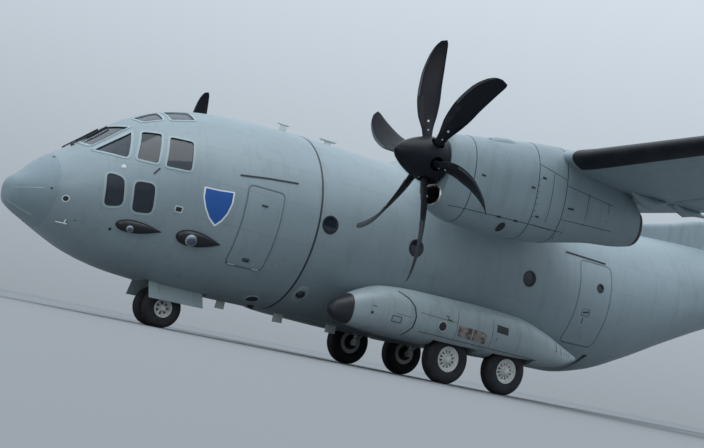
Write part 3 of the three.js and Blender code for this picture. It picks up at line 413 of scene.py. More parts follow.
def flat_sheet(name, outline):
    """A flat outline filled as one face, selected in edit mode."""
    bpy.ops.mesh.primitive_circle_add(vertices=len(outline), fill_type="NGON")
    piece = bpy.context.object
    piece.name = piece.data.name = name
    for v, p in zip(piece.data.vertices, outline):
        v.co = p
    bpy.ops.object.mode_set(mode="EDIT")
    bpy.ops.mesh.select_all(action="SELECT")
    return piece


def slab(outline, push, name="slab"):
    """A flat outline extruded along one direction, as a plate is sawn from stock."""
    piece = flat_sheet(name, outline)
    bpy.ops.mesh.extrude_region_move(TRANSFORM_OT_translate={"value": push})
    bpy.ops.mesh.select_all(action="SELECT")
    bpy.ops.mesh.normals_make_consistent(inside=False)
    bpy.ops.object.mode_set(mode="OBJECT")
    return piece


def round_corners(outline, radius, step=0.07):
    """The outline with its corners drawn round and its long sides stepped."""
    n, drawn = len(outline), []
    for i in range(n):
        p, v, q = (Vector(outline[(i + k) % n]) for k in (-1, 0, 1))
        reach = min(radius, (p - v).length * 0.45, (q - v).length * 0.45)
        a, b = v + (p - v).normalized() * reach, v + (q - v).normalized() * reach
        for t in (0, 0.25, 0.5, 0.75, 1):
            drawn.append(a * (1 - t) ** 2 + v * 2 * t * (1 - t) + b * t * t)
    full = []
    for a, b in zip(drawn, drawn[1:] + drawn[:1]):
        parts = max(1, round((b - a).length / step))
        full += [a + (b - a) * k / parts for k in range(parts)]
    return full


def soft_box(s0, s1, z0, z1, radius, step):
    """The outline of a box with round corners."""
    return round_corners([(s0, z0), (s1, z0), (s1, z1), (s0, z1)], radius, step)


def span(a, b, step):
    n = max(1, round((b - a) / step))
    return [a + (b - a) * k / n for k in range(n + 1)]


SIDE_PANES = {
    # (station, height) outlines, in side view
    "quarter": [(1.11, 0.30), (1.75, 0.825), (1.62, 0.265)],
    "side_front": [(1.87, 0.82), (2.20, 0.855), (2.11, 0.285), (1.74, 0.285)],
    "side_rear": [(2.31, 0.83), (2.73, 0.84), (2.69, 0.29), (2.23, 0.265)],
    "chin_front": [(1.29, -0.065), (1.60, -0.095), (1.68, -0.58), (1.35, -0.65)],
    "chin_rear": [(1.75, -0.11), (2.12, -0.085), (2.19, -0.60), (1.82, -0.64)],
}
FRONT_PANE = [(0.045, 0.49), (0.045, 0.88), (0.74, 0.895), (0.69, 0.385)]  # offset, height
BROW_PANES = {
    "brow_front": [(1.89, 0.34), (2.32, 0.31), (2.31, 0.81), (1.97, 0.72)],  # station, offset
    "brow_rear": [(2.42, 0.34), (2.85, 0.48), (2.87, 0.91), (2.43, 0.87)],
}
CREW_DOOR = (3.81, 4.55, -1.125, 0.33)  # stations, then heights
NOSE_BAY = (2.76, 4.06, 0.43)
nose_stations = [RADOME_END + 0.001, 0.72, 0.8, 0.88, 0.96] + span(1.05, 3.0, 0.075)
nose_stations += span(3.15, 5.1, 0.21) + [NOSE_JOINT - 0.001]
forward = hull_form("nose_skin", nose_stations, ends="open")
wall_up(forward, WALL)
pane_holes, front_holes, brow_holes = [], [], []
for side in (1, -1):
    for name, outline in SIDE_PANES.items():
        corner = 0.12 if name.startswith("chin") else 0.06
        ring = round_corners(outline, corner, 0.3)
        pane_holes.append(slab([at(s, side * 0.7, z) for s, z in ring], (0, side * 1.3, 0)))
    ring = round_corners(FRONT_PANE, 0.06, 0.3)
    front_holes.append(slab([at(2.0, side * y, z) for y, z in ring], (1.4, 0, 0)))
    for outline in BROW_PANES.values():
        ring = round_corners(outline, 0.07, 0.3)
        brow_holes.append(slab([at(s, side * y, 0.95) for s, y in ring], (0, 0, 0.9)))
for holes in (pane_holes, front_holes, brow_holes):
    carve(forward, holes)
carve(forward, [slab([at(s, 0.95, z) for s, z in soft_box(*CREW_DOOR, 0.10, 0.3)], (0, 1.2, 0))])
carve(forward, [block((BOW - NOSE_BAY[0], -NOSE_BAY[2], 0.5), (BOW - NOSE_BAY[1], NOSE_BAY[2], 1.2))])
dress(forward, hull_paint, stands_for="forward_fuselage")

# Cockpit glass
# Stretched acrylic and glass panes, smoke blue from outside, are clamped in
# painted frames that stand a little proud of the skin.


def hull_field(s, y, z):
    """1 on the skin, more outside, less inside; z from the axis."""
    w = hull_widest(s)
    h = hull_crown(s) - w if z >= w else w - hull_keel(s)
    return (y / hull_half(s)) ** 2 + ((z - w) / h) ** 2


def hull_point(way, a, b, side, lift):
    """A place on the skin, raised by lift: 'side' takes station and height, 'crown' and
    'keel' station and offset, 'front' offset and height, 'round' station and angle."""
    if way == "front":
        near, far, y, z = 0.0, 4.0, a, b
        for _ in range(28):
            mid = (near + far) / 2
            near, far = (mid, far) if hull_field(mid, y, z) > 1 else (near, mid)
        s = far
    elif way == "round":
        s, w = a, hull_widest(a)
        h = hull_crown(s) - w if sin(b) >= 0 else w - hull_keel(s)
        y, z = hull_half(s) * cos(b), w + h * sin(b)
    elif way == "side":
        s, z, w = a, b, hull_widest(a)
        h = hull_crown(s) - w if z >= w else w - hull_keel(s)
        y = hull_half(s) * sqrt(max(1 - ((z - w) / h) ** 2, 0.0004))
    else:
        s, y, w = a, b, hull_widest(a)
        h = hull_crown(s) - w if way == "crown" else hull_keel(s) - w
        z = w + h * sqrt(max(1 - (y / hull_half(s)) ** 2, 0.0004))
    d = 0.004
    slope = Vector((
        -(hull_field(s + d, y, z) - hull_field(s - d, y, z)),
        hull_field(s, y + d, z) - hull_field(s, y - d, z),
        hull_field(s, y, z + d) - hull_field(s, y, z - d),
    )).normalized()
    spot = at(s, y, z) + slope * lift
    return Vector((spot.x, side * spot.y, spot.z))


def skin_plate(name, outline, place, core, thick=0.004, ring=0.0, cuts=3):
    """A sheet cut to a flat outline, then rubbed down on a curved skin: place gives the spot on
    the skin for a pair of outline values, core a point inside. ring leaves only a border."""
    piece = flat_sheet(name, [(p[0], p[1], 0) for p in outline])
    if ring:
        bpy.ops.mesh.inset(thickness=ring, use_even_offset=True)
        bpy.ops.mesh.delete(type="FACE")
    else:
        bpy.ops.mesh.poke()
        bpy.ops.mesh.subdivide(number_cuts=cuts)
    bpy.ops.object.mode_set(mode="OBJECT")
    for v in piece.data.vertices:
        v.co = place(v.co.x, v.co.y)
    piece.data.update()
    if sum(p.normal.dot(p.center - core(p.center)) * p.area for p in piece.data.polygons) < 0:
        bpy.ops.object.mode_set(mode="EDIT")
        bpy.ops.mesh.select_all(action="SELECT")
        bpy.ops.mesh.flip_normals()
        bpy.ops.object.mode_set(mode="OBJECT")
    return modify(
        piece, "SOLIDIFY", thickness=abs(thick), offset=1 if thick > 0 else -1, use_even_offset=False
    )


def hull_plate(name, outline, way="side", side=1, lift=0.0, **more):
    return skin_plate(name, outline, lambda a, b: hull_point(way, a, b, side, lift),
                      lambda p: Vector((p.x - 0.35, 0, AXIS)), **more)


def worn_finish(name, scale, detail, rough_noise=0.5, tones=None, mask=None, gloss=None, bump=None,
                pattern="TexNoise", plain=()):
    """A finish varied by one grain on the piece. It mixes two tones, through a mask if one is
    given, and sets the span of roughness and the relief; plain holds the shader's fixed values."""
    finish, tree, shader = new_finish(name)
    place = put(tree, "TexCoord").outputs["Object"]
    if pattern == "TexWave":
        value = put(tree, pattern, [("Vector", place), ("Scale", scale)]).outputs[1]
    else:
        value = grain(tree, place, scale, detail, rough_noise)
    if tones:
        share = span_map(tree, value, *mask) if mask else value
        tree.links.new(blend(tree, share, *tones), shader.inputs["Base Color"])
    if gloss:
        tree.links.new(span_map(tree, value, 0.0, 1.0, *gloss), shader.inputs["Roughness"])
    if bump:
        emboss(tree, shader, value, *bump)
    for socket, fixed in dict(plain).items():
        shader.inputs[socket].default_value = fixed
    return finish


pane_glass = worn_finish(
    "pane_glass", 3.0, 1.0, bump=(0.06, 0.01),
    plain={
        "Base Color": (0.016, 0.026, 0.040, 1), "Roughness": 0.04, "IOR": 1.5, "Alpha": 0.62,
        "Coat Weight": 0.5
    }
)
frame_paint = service_paint("frame_paint", srgb(150, 166, 169), rough=0.45, grime=0.15)
panes, frames = [], []
for side in (1, -1):
    rows = [("side", outline, 0.12 if name.startswith("chin") else 0.06)
            for name, outline in SIDE_PANES.items()]
    rows += [("front", FRONT_PANE, 0.06)] + [("crown", outline, 0.07) for outline in BROW_PANES.values()]
    for way, outline, corner in rows:
        corners = [Vector(p) for p in outline]
        middle = sum(corners, Vector((0, 0))) / len(corners)
        pane = [middle + (p - middle) * 1.03 for p in corners]
        panes.append(hull_plate("pane", round_corners(pane, corner, 0.09), way, side, -0.014, thick=-0.012))
        rim = [middle + (p - middle) * (1 + 0.045 / (p - middle).length) for p in corners]
        frames.append(hull_plate("frame", round_corners(rim, corner + 0.03, 0.06), way, side, -0.002,
                                 thick=0.010, ring=0.036))
dress(join("cockpit_panes", panes), pane_glass, stands_for="cockpit_glazing")
dress(join("pane_frames", frames), frame_paint, angle=50)

# Nose fittings
# Lightning strips, a gutter and probes are bonded or screwed to the skin, and
# dark teardrop housings with their own lenses hold the warning sensors.
light_strip = service_paint("light_strip", srgb(198, 206, 204), rough=0.4, grime=0.1)
shield_blue = service_paint("shield_blue", srgb(28, 84, 158), rough=0.4, grime=0.12, soil=0.1)
shield_edge = service_paint("shield_edge", srgb(226, 230, 232), rough=0.4, grime=0.1, soil=0.1)
housing_black = service_paint("housing_black", srgb(20, 21, 25), rough=0.34, grime=0.1, soil=0.15)


def stepped(points, step=0.1):
    """A line with extra points, so that it can follow a curved skin."""
    full = [Vector(points[0])]
    for a, b in zip(points, points[1:]):
        a, b = Vector(a), Vector(b)
        parts = max(1, round((b - a).length / step))
        full += [a + (b - a) * (k + 1) / parts for k in range(parts)]
    return full


def skin_line(path, width, place, proud=0.004, closed=False):
    """A thin strip laid on a skin along a line of parameter pairs."""
    n, rings = len(path), []
    for i in range(n + closed):
        here = Vector(path[i % n])
        if closed:
            ahead, behind = Vector(path[(i + 1) % n]), Vector(path[i % n - 1])
        else:
            ahead, behind = Vector(path[min(i + 1, n - 1)]), Vector(path[max(i - 1, 0)])
        way = (ahead - behind).normalized()
        off = Vector((-way.y, way.x)) * width / 2
        rings.append([place(here - off, -0.004), place(here - off, proud), place(here + off, proud),
                      place(here + off, -0.004)])
    return draw_rings("strip", rings, "open" if closed else "cap")


def on_hull(way="side", side=1):
    return lambda p, lift: hull_point(way, p[0], p[1], side, lift)


def hull_line(path, width, proud, side=1, closed=False):
    return skin_line(path, width, on_hull(side=side), proud, closed)


def teardrop(place, front, tail, wide, high, steps=18):
    """A blister on a skin, blunt at the front and drawn out to a point."""
    front, tail = Vector(front), Vector(tail)
    way = (tail - front).normalized()
    off = Vector((-way.y, way.x))
    rings = []
    for k in range(steps + 1):
        t = (k / steps) ** 1.6
        full = max(sqrt(t) * (1 - t) / 0.385, 0.02)
        middle = front + (tail - front) * t
        rings.append([place(middle + off * wide * full * cos(a), high * full * sin(a)) for a in turns(24)])
    return draw_rings("blister", rings)


def rod(a, b, radius, end=None, points=20, name="rod"):
    """A round bar, or a taper, between two points."""
    a, b = Vector(a), Vector(b)
    end = radius if end is None else end
    turn = (b - a).to_track_quat("Z", "Y").to_euler()
    bpy.ops.mesh.primitive_cone_add(
        vertices=points, radius1=radius, radius2=end, depth=(b - a).length, location=(a + b) / 2,
        rotation=turn
    )
    bpy.ops.object.transform_apply()
    bpy.context.object.name = name
    return bpy.context.object


def lens(spot, out, radius, bulge):
    """A round cap of glass or metal that looks along one direction."""
    bpy.ops.mesh.primitive_uv_sphere_add(
        segments=28, ring_count=14, location=spot, rotation=out.to_track_quat("Z", "Y").to_euler(),
        scale=(radius, radius, bulge)
    )
    bpy.ops.object.transform_apply()
    return bpy.context.object


def hull_out(way, a, b, side):
    return (hull_point(way, a, b, side, 0.1) - hull_point(way, a, b, side, 0)).normalized()


def disc(centre, radius, count=24):
    return [(centre[0] + radius * cos(a), centre[1] + radius * sin(a)) for a in turns(count)]


def hull_disc(centre, radius, side, thick=0.003, lift=-0.001, points=24, way="side", **more):
    return hull_plate("disc", disc(centre, radius, points), way, side, lift, thick=thick, **more)


def hull_lens(spot, sunk, radius, bulge):
    """A lens on the skin; spot is the way of hull_point, its two values and the side."""
    return lens(hull_point(*spot, -sunk), hull_out(*spot), radius, bulge)


SIDES = ((1, "port"), (-1, "starboard"))
STRIP_TURNS = (1.38, -0.03, -1.02, pi - 1.38, pi + 0.03, pi + 1.02)
EYE_PORT, PITOT, CREW_LAMP = (0.787, -0.658), (0.92, -1.0), (1.554, 0.086)  # station, height
pale = [skin_line([(0.05 + 0.05 * k, turn) for k in range(9)], 0.015, on_hull("round"), 0.003)
        for turn in STRIP_TURNS]
dark = []
for side in (1, -1):
    pale.append(hull_disc(EYE_PORT, 0.062, side, 0.006, ring=0.018))
    # The dark disc inside the port's pale ring is painted shade: it stands for the shadowed hollow of the
    # recessed port.
    dark.append(hull_disc(EYE_PORT, 0.042, side))
    for spot, radius in (
        ((0.62, 0.06), 0.016), ((0.553, -0.532), 0.018), ((1.614, -0.998), 0.026), ((1.05, -0.98), 0.012)
    ):
        dark.append(hull_disc(spot, radius, side, points=12, cuts=1))
    dark.append(hull_line([(2.05, 0.084), (2.142, 0.205)], 0.022, 0.012, side))
    dark.append(hull_line(stepped([(3.61, 0.455), (4.17, 0.535), (4.81, 0.60)]), 0.022, 0.016, side))
    pale.append(hull_line(soft_box(2.54, 2.67, -0.465, -0.365, 0.02, 0.04), 0.016, 0.012, side, True))
    box = [(2.555, -0.45), (2.655, -0.45), (2.655, -0.38), (2.555, -0.38)]
    dark.append(hull_plate("lamp_box", box, side=side, lift=-0.001, thick=0.004))
    pale.append(hull_lens(("side", *CREW_LAMP, side), 0.004, 0.045, 0.022))
    spot = ("side", *PITOT, side)
    foot, out = hull_point(*spot, -0.01), hull_out(*spot)
    probe = foot + out * 0.115
    pale += [rod(foot, probe, 0.016, 0.011, 12),
             rod(probe - Vector((0.05, 0, 0)), probe + Vector((0.15, 0, 0)), 0.013, 0.009, 14)]
dress(join("nose_pale_fittings", pale), light_strip, angle=50)
dress(join("nose_dark_fittings_and_port_shade", dark), dark_trim, angle=50)
BARE_SHIELD = [
    (2.96, 0.085), (3.26, 0.095), (3.55, 0.125), (3.555, -0.08), (3.51, -0.29), (3.43, -0.45),
    (3.33, -0.56), (3.18, -0.45), (3.06, -0.29), (2.975, -0.10)
]
SHIELD_MIDDLE = Vector((3.27, -0.14))
field = [SHIELD_MIDDLE + (Vector(p) - SHIELD_MIDDLE) * 0.9 for p in BARE_SHIELD]
for side, word in SIDES:
    dress(hull_plate(f"shield_edge_{word}", round_corners(BARE_SHIELD, 0.02, 0.06), side=side, lift=-0.002,
                     thick=0.0035), shield_edge)
    dress(hull_plate(f"shield_field_{word}", round_corners(field, 0.02, 0.06), side=side, lift=-0.001,
                     thick=0.004), shield_blue)
housings, eyes, rims = [], [], []
SENSORS = [
    ((1.66, -0.885), (2.46, -0.86), 0.105, 0.10, 0.050),
    ((2.72, -0.845), (3.58, -0.84), 0.135, 0.12, 0.085)
]
for side in (1, -1):
    for front, tail, wide, high, glass_size in SENSORS:
        housings.append(teardrop(on_hull(side=side), front, tail, wide, high))
        eye = ("side", front[0] + (tail[0] - front[0]) * 0.30, front[1], side)
        spot, out = hull_point(*eye, high * 0.72), hull_out(*eye)
        rims.append(rod(spot, spot + out * 0.05, glass_size * 1.28, glass_size * 1.12, 32))
        eyes.append(lens(spot + out * 0.046, out, glass_size, glass_size * 0.45))
dress(join("sensor_housings", housings), housing_black, angle=60)
dress(join("sensor_rims", rims), frame_paint, angle=40)
sensor_glass = worn_finish(
    "sensor_glass", 9.0, 2.0, tones=((0.05, 0.07, 0.12, 1), (0.11, 0.11, 0.15, 1)),
    plain={"Metallic": 0.6, "Roughness": 0.08, "Coat Weight": 1.0}
)
dress(join("sensor_lenses", eyes), sensor_glass, angle=60)
wipers = []
for base, tip in (((0.172, 0.385), (0.215, 0.85)), ((-0.431, 0.375), (-0.06, 0.80))):
    arm = stepped([base, tip], 0.06)
    wipers.append(
        skin_line(arm, 0.022, lambda p, lift: hull_point("front", p[0], p[1], 1, lift + 0.022), 0.018)
    )
    wipers.append(
        skin_line([p + Vector((0.012, 0)) for p in arm[len(arm) // 3:]], 0.016, on_hull("front"), 0.024)
    )
    wipers.append(hull_lens(("front", *base, 1), -0.01, 0.035, 0.035))
dress(join("windscreen_wipers", wipers), dark_trim, angle=45)

# Crew door hardware
# A step handle in a pressed cup and a rubber seal face, four treads inside
# that lie level once the door is down, and two hinge knuckles on the sill.
SILL_Y, SILL_Z, SILL_RADIUS = 1.385, -1.121, 0.020
STEP_RADIUS = 1.685  # of the leaf's inner face
handles = [
    hull_line(soft_box(4.10, 4.24, -1.02, -0.965, 0.02, 0.03), 0.010, 0.004, closed=True),
    hull_line([(4.12, -0.992), (4.22, -0.992)], 0.020, 0.014),
    hull_line([(4.12, 0.02), (4.24, 0.02)], 0.026, 0.014)
]
dress(join("crew_door_handles", handles), dark_trim, "crew_door")
SEAL_OFF = 0.014  # from the edge of a doorway


def round_door(doorway, off, corner, step):
    """The line that runs round a doorway, outside its edge or, with a minus, inside."""
    s0, s1, z0, z1 = doorway
    return soft_box(s0 - off, s1 + off, z0 - off, z1 + off, corner, step)


dress(hull_line(round_door(CREW_DOOR, SEAL_OFF, 0.11, 0.1), 0.010, 0.002, closed=True), seam_paint)
STEP_TURNS = (-33, -22, -11, 0)  # degrees up from the axis, on the inside of the leaf
STEP_REACH, STEP_THICK = Vector((0, -0.065, 0.1126)), Vector((0, 0.0191, 0.011))
steps = []
for turn in STEP_TURNS:
    foot = at(3.95, STEP_RADIUS * cos(radians(turn)), STEP_RADIUS * sin(radians(turn)))
    edges = [foot, foot + STEP_REACH, foot + STEP_REACH + STEP_THICK, foot + STEP_THICK]
    steps.append(modify(slab(edges, (-0.46, 0, 0)), "BEVEL", width=0.004, segments=2))
dress(join("crew_door_steps", steps), frame_paint, "crew_door")


def hinge_rods(a, b, radius, rows):
    """Knuckles on one axis; each row is (start, meeting, end), the first length fixed."""
    along = (b - a).normalized()
    fixed, moving = [], []
    for start, meet, end in rows:
        slack = 0.0004 if end > start else -0.0004
        fixed.append(rod(a + along * start, a + along * (meet - slack), radius, points=16))
        moving.append(rod(a + along * (meet + slack), a + along * end, radius, points=16))
    return fixed, moving


fixed, moving = hinge_rods(
    at(3.86, SILL_Y, SILL_Z), at(4.50, SILL_Y, SILL_Z), SILL_RADIUS, ((0, 0.07, 0.14), (0.64, 0.57, 0.50))
)
dress(join("crew_door_sill_knuckles", fixed), hull_paint)
dress(join("crew_door_leaf_knuckles", moving), hull_paint, "crew_door")

# Middle skin
# A plain tube of long sheets riveted to the frames, with three round windows
# in each side.
ROUND_WINDOWS = (5.60, 7.62, 10.61)
middle_skin = hull_form("middle_skin", span(NOSE_JOINT + 0.001, TAIL_JOINT - 0.001, 0.6), ends="open")
wall_up(middle_skin, WALL)
carve(middle_skin,
      [rod(at(s, side * 1.3, 0), at(s, side * 2.0, 0), 0.145, points=40) for s in ROUND_WINDOWS
       for side in (1, -1)])
dress(middle_skin, hull_paint, stands_for="centre_fuselage")
ports, port_rims = [], []
for side in (1, -1):
    for s in ROUND_WINDOWS:
        ports.append(hull_disc((s, 0), 0.15, side, -0.012, -0.016, points=40))
        port_rims.append(hull_disc((s, 0), 0.175, side, 0.008, -0.002, points=40, ring=0.034))
dress(join("round_windows", ports), pane_glass)
dress(join("round_window_rims", port_rims), dark_trim, angle=50)

# Body band and aerials
# A dark sealing band covers the nose joint; aerials stand on the crown and
# the belly, with lamps and a small optical port let into the keel.


def soften(piece, width, angle=40):
    """Rounds the edges that are sharper than an angle."""
    return modify(piece, "BEVEL", width=width, segments=2, limit_method="ANGLE", angle_limit=radians(angle))


band = hull_form("joint_band", (5.335, 5.375), -0.003, "open")
dress(modify(band, "SOLIDIFY", thickness=0.005, offset=-1), line_paint)


def fin_blade(s0, s1, y, z0, z1, thick, rake=0.0):
    """An aerial blade: a thin raked plate with a rounded edge."""
    corners = ((s0, z0), (s1, z0), (s1 + rake, z1), (s0 + rake + 0.02, z1))
    return soften(slab([at(s, y - thick / 2, z) for s, z in corners], (0, thick, 0)), thick * 0.35)


def small_box(low, high, edge=0.008):
    return soften(block(low, high), edge)


def crown_box(s0, s1, half, z0, z1, edge=0.008):
    return small_box(at(s1, -half, z0), at(s0, half, z1), edge)


aerials = [
    fin_blade(5.02, 5.18, 0, 1.74, 1.93, 0.035, 0.01), crown_box(4.98, 5.24, 0.03, 1.925, 1.95, 0.006),
    fin_blade(6.10, 6.26, 0, 1.75, 1.88, 0.05), crown_box(6.0, 6.36, 0.05, 1.875, 1.915),
    small_box(at(5.95, -0.05, -1.95), at(5.77, 0.05, -1.76)),
    small_box(at(7.22, -0.05, -1.94), at(7.02, 0.05, -1.76)),
    fin_blade(4.45, 4.65, 0.0, -1.92, -1.75, 0.03), fin_blade(12.0, 12.3, 0.0, 1.75, 1.98, 0.03, 0.08)
]
dress(join("aerials", aerials), light_strip, angle=40)
# Painted shade: two dark wedges behind the rear end of the wing hood stand for the shadowed hollow there.
wedge = [fin_blade(12.80, 13.35, side * 0.42, 1.68, 1.90, 0.05, -0.30) for side in (1, -1)]
dress(join("painted_shade_wedges", wedge), dark_trim, angle=40)
belly_dark = [hull_lens(("keel", 5.05, 0.31, 1), 0.01, 0.07, 0.055)]
belly_pale = [
    hull_disc((4.85, 0.70), 0.15, 1, 0.012, -0.002, way="keel", ring=0.03),
    hull_disc((5.62, -1.36), 0.15, 1, 0.012, -0.002, ring=0.05)
]
belly_dark += [
    hull_disc((4.85, 0.70), 0.125, 1, 0.006, -0.004, way="keel"),
    hull_lens(("side", 5.62, -1.36, 1), 0.0, 0.09, 0.06)
]
for s, y in ((6.4, -0.5), (6.9, 0.45), (11.6, 0.3)):
    belly_dark.append(hull_disc((s, y), 0.03, 1, 0.006, points=12, way="keel", cuts=1))
dress(join("belly_dark_fittings", belly_dark), dark_trim, angle=50)
dress(join("belly_pale_fittings", belly_pale), frame_paint, angle=50)

# Tail skin
# The tail sweeps up behind the hold, open below for the ramp and the upper
# door, with a paratroop doorway in each side.


def hinge_room(a, b, radius, rows, moving):
    """Cutters that clear one side for the knuckles of the other."""
    along = (b - a).normalized()
    cutters = []
    for start, meet, end in rows:
        spare = 0.005 if end > start else -0.005
        d0, d1 = (meet, end + spare) if moving else (start - spare, meet)
        cutters.append(rod(a + along * d0, a + along * d1, radius + 0.005, points=24))
    return cutters


DOORWAY = (12.06, 12.99, -1.10, 0.72)
RAMP = (13.02, 16.10, 1.225)
UPPER_DOOR = (16.12, 19.10)
RAMP_AXIS = (13.02, -1.70)  # station, height


def opening_half(s):
    return min(RAMP[2], hull_half(s) - 0.33)


def plan_slab(s0, s1, grow, low, high):
    stops = [s0, (s0 + s1) / 2, s1]
    outline = [(BOW - s, opening_half(s) + grow, low) for s in stops]
    outline += [(BOW - s, -opening_half(s) - grow, low) for s in reversed(stops)]
    return slab(outline, (0, 0, high - low))


tail_stations = [TAIL_JOINT + 0.001] + span(12.4, 21.4, 0.3) + [21.55, 21.7, 21.8, 21.86, TAIL_END]
tail_skin = hull_form("tail_skin", tail_stations)
carve(tail_skin, [hull_form("core", [TAIL_JOINT - 0.1] + span(12.4, 19.6, 0.6), WALL)])
cuts = []
for side in (1, -1):
    ring = [at(s, side * 1.05, z) for s, z in soft_box(*DOORWAY, 0.14, 0.4)]
    cuts.append(slab(ring, (0, side * 1.0, 0)))
carve(tail_skin, cuts)
carve(tail_skin, [plan_slab(RAMP[0] - 0.035, RAMP[1], 0.012, 0.5, AXIS + 0.33)])
carve(tail_skin, [plan_slab(UPPER_DOOR[0] - 0.40, UPPER_DOOR[1] + 0.035, 0.012, 0.5, AXIS + 1.275)])
hinge_s, hinge_z = RAMP_AXIS
RAMP_HINGE = (
    at(hinge_s, -0.33, hinge_z), at(hinge_s, 0.33, hinge_z), 0.045, ((0, 0.1, 0.2), (0.66, 0.56, 0.46))
)
UPPER_HINGE = (at(19.10, -0.56, 0.72), at(19.10, 0.56, 0.72), 0.042, ((0, 0.05, 0.1), (1.12, 1.07, 1.02)))
carve(tail_skin, hinge_room(*RAMP_HINGE, moving=True))
carve(tail_skin, hinge_room(*UPPER_HINGE, moving=True))
dress(tail_skin, hull_paint, stands_for="rear_fuselage")

# Cargo doors
# The ramp is a deep box, hinged at its low front edge, whose top carries on
# the hold floor; the upper door is a single shell that swings up inside.
HOLD_FLOOR = -1.13
RAMP_REACH, RAMP_CLEAR = 3.272, 0.022  # the joint with the upper door is an arc about the hinge
ARC_TURNS = [radians(a) for a in (-3.5, 5, 12, 15, 18, 21, 24, 27, 29.47)]
ramp_arc = [(hinge_s + RAMP_REACH * cos(turn), hinge_z + RAMP_REACH * sin(turn)) for turn in ARC_TURNS]
ramp_side = [
    (13.17, HOLD_FLOOR - 0.005), (hinge_s, hinge_z + 0.10), (hinge_s, hinge_z), (13.05, -1.90)
] + ramp_arc
ramp = hull_form("cargo_ramp_box", [12.5] + span(12.9, 16.6, 0.2))
carve(ramp, [slab([at(s, -2.0, z) for s, z in ramp_side], (0, 4, 0))], "INTERSECT")
carve(ramp, [plan_slab(RAMP[0] - 0.01, RAMP[1], 0, 0.5, AXIS + 0.33)], "INTERSECT")
carve(ramp, hinge_room(*RAMP_HINGE, moving=False))
dress(ramp, hull_paint, "cargo_ramp", stands_for="cargo_ramp")
upper = hull_form("upper_door_shell", span(15.6, 19.6, 0.2))
carve(upper, [hull_form("core", span(15.5, 19.7, 0.3), 0.09)])
carve(upper, [plan_slab(UPPER_DOOR[0] - 0.30, UPPER_DOOR[1], 0, 0.5, AXIS + 1.15)], "INTERSECT")
carve(upper,
      [rod(at(hinge_s, -2.5, hinge_z), at(hinge_s, 2.5, hinge_z), RAMP_REACH + RAMP_CLEAR, points=220)])
carve(upper, hinge_room(*UPPER_HINGE, moving=False))
dress(upper, hull_paint, "upper_cargo_door", stands_for="upper_cargo_door")
for line, body, word in (
    (RAMP_HINGE, "cargo_ramp", "ramp"), (UPPER_HINGE, "upper_cargo_door", "upper_door")
):
    fixed, moving = hinge_rods(*line)
    dress(join(f"{word}_hinge_fixed", fixed), hull_paint)
    dress(join(f"{word}_hinge_moving", moving), hull_paint, body)

# Side doors
# Plug doors of pressed sheet: the crew door hinges on its sill on the port
# side, and a paratroop door closes each doorway aft of the wheels.
LEAF_GAP, LEAF_THICK = 0.008, 0.095
DOOR_PORT = (12.66, 0.2)  # the paratroop door's window
crew_leaf = hull_plate(
    "crew_door_leaf", round_door(CREW_DOOR, -LEAF_GAP, 0.095, 0.08), thick=-LEAF_THICK, cuts=7
)
dress(crew_leaf, hull_paint, "crew_door", stands_for="crew_door")
for side, word in SIDES:
    door = hull_plate(f"paratroop_leaf_{word}", round_door(DOORWAY, -LEAF_GAP, 0.13, 0.09), side=side,
                      thick=-LEAF_THICK, cuts=7)
    window_s, window_z = DOOR_PORT
    carve(door,
          [rod(at(window_s, side * 1.2, window_z), at(window_s, side * 2.1, window_z), 0.088, points=32)])
    dress(door, hull_paint, stands_for=f"paratroop_door_{word}")
    glass = hull_plate(
        f"paratroop_pane_{word}", disc(DOOR_PORT, 0.095, 40), "side", side, -0.016, thick=-0.01
    )
    dress(glass, pane_glass)

gutters, pulls, seals = [], [], []
for side in (1, -1):
    gutters.append(hull_line(stepped([(11.65, 0.80), (12.84, 0.78)]), 0.024, 0.018, side))
    pulls.append(hull_line([(12.31, -0.40), (12.45, -0.37)], 0.026, 0.016, side))
    pulls.append(hull_line([(12.36, -0.52), (12.37, -0.64)], 0.014, 0.008, side))
    pulls.append(hull_line(soft_box(12.27, 12.49, -0.47, -0.32, 0.04, 0.05), 0.008, 0.003, side, True))
    pulls.append(hull_disc(DOOR_PORT, 0.104, side, 0.008, -0.002, points=32, ring=0.02))
    seals.append(hull_line(round_door(DOORWAY, SEAL_OFF, 0.15, 0.1), 0.010, 0.002, side, True))
dress(join("paratroop_gutters", gutters), dark_trim)
dress(join("paratroop_door_pulls", pulls), dark_trim, angle=50)
dress(join("paratroop_door_seals", seals), seam_paint)

# Wing
# A straight centre wing and two tapered outer panels, riveted boxes with a
# cambered section, sit on the crown; flaps and ailerons hang behind.
WING = dict(
    station=8.03, chord=3.38, z=AXIS + 1.82, tip=1.685, joint=5.65, end=14.35, incidence=radians(-3.7),
    dihedral=radians(2.5)
)
WING_T, WING_M, HINGE = 0.15, 0.02, 0.74
FRACTIONS = [
    0, 0.004, 0.012, 0.025, 0.045, 0.07, 0.10, 0.14, 0.19, 0.25, 0.32, 0.40, 0.48, 0.56, 0.64, 0.72, 0.80,
    0.88, 0.95, 1
]


def section_depth(f, t):
    return max(
        5 * t * (0.2969 * sqrt(f) - 0.126 * f - 0.3516 * f * f + 0.2843 * f ** 3 - 0.1036 * f ** 4), 0.0006
    )


def section_rise(f, m):
    return 4 * m * f * (1 - f)


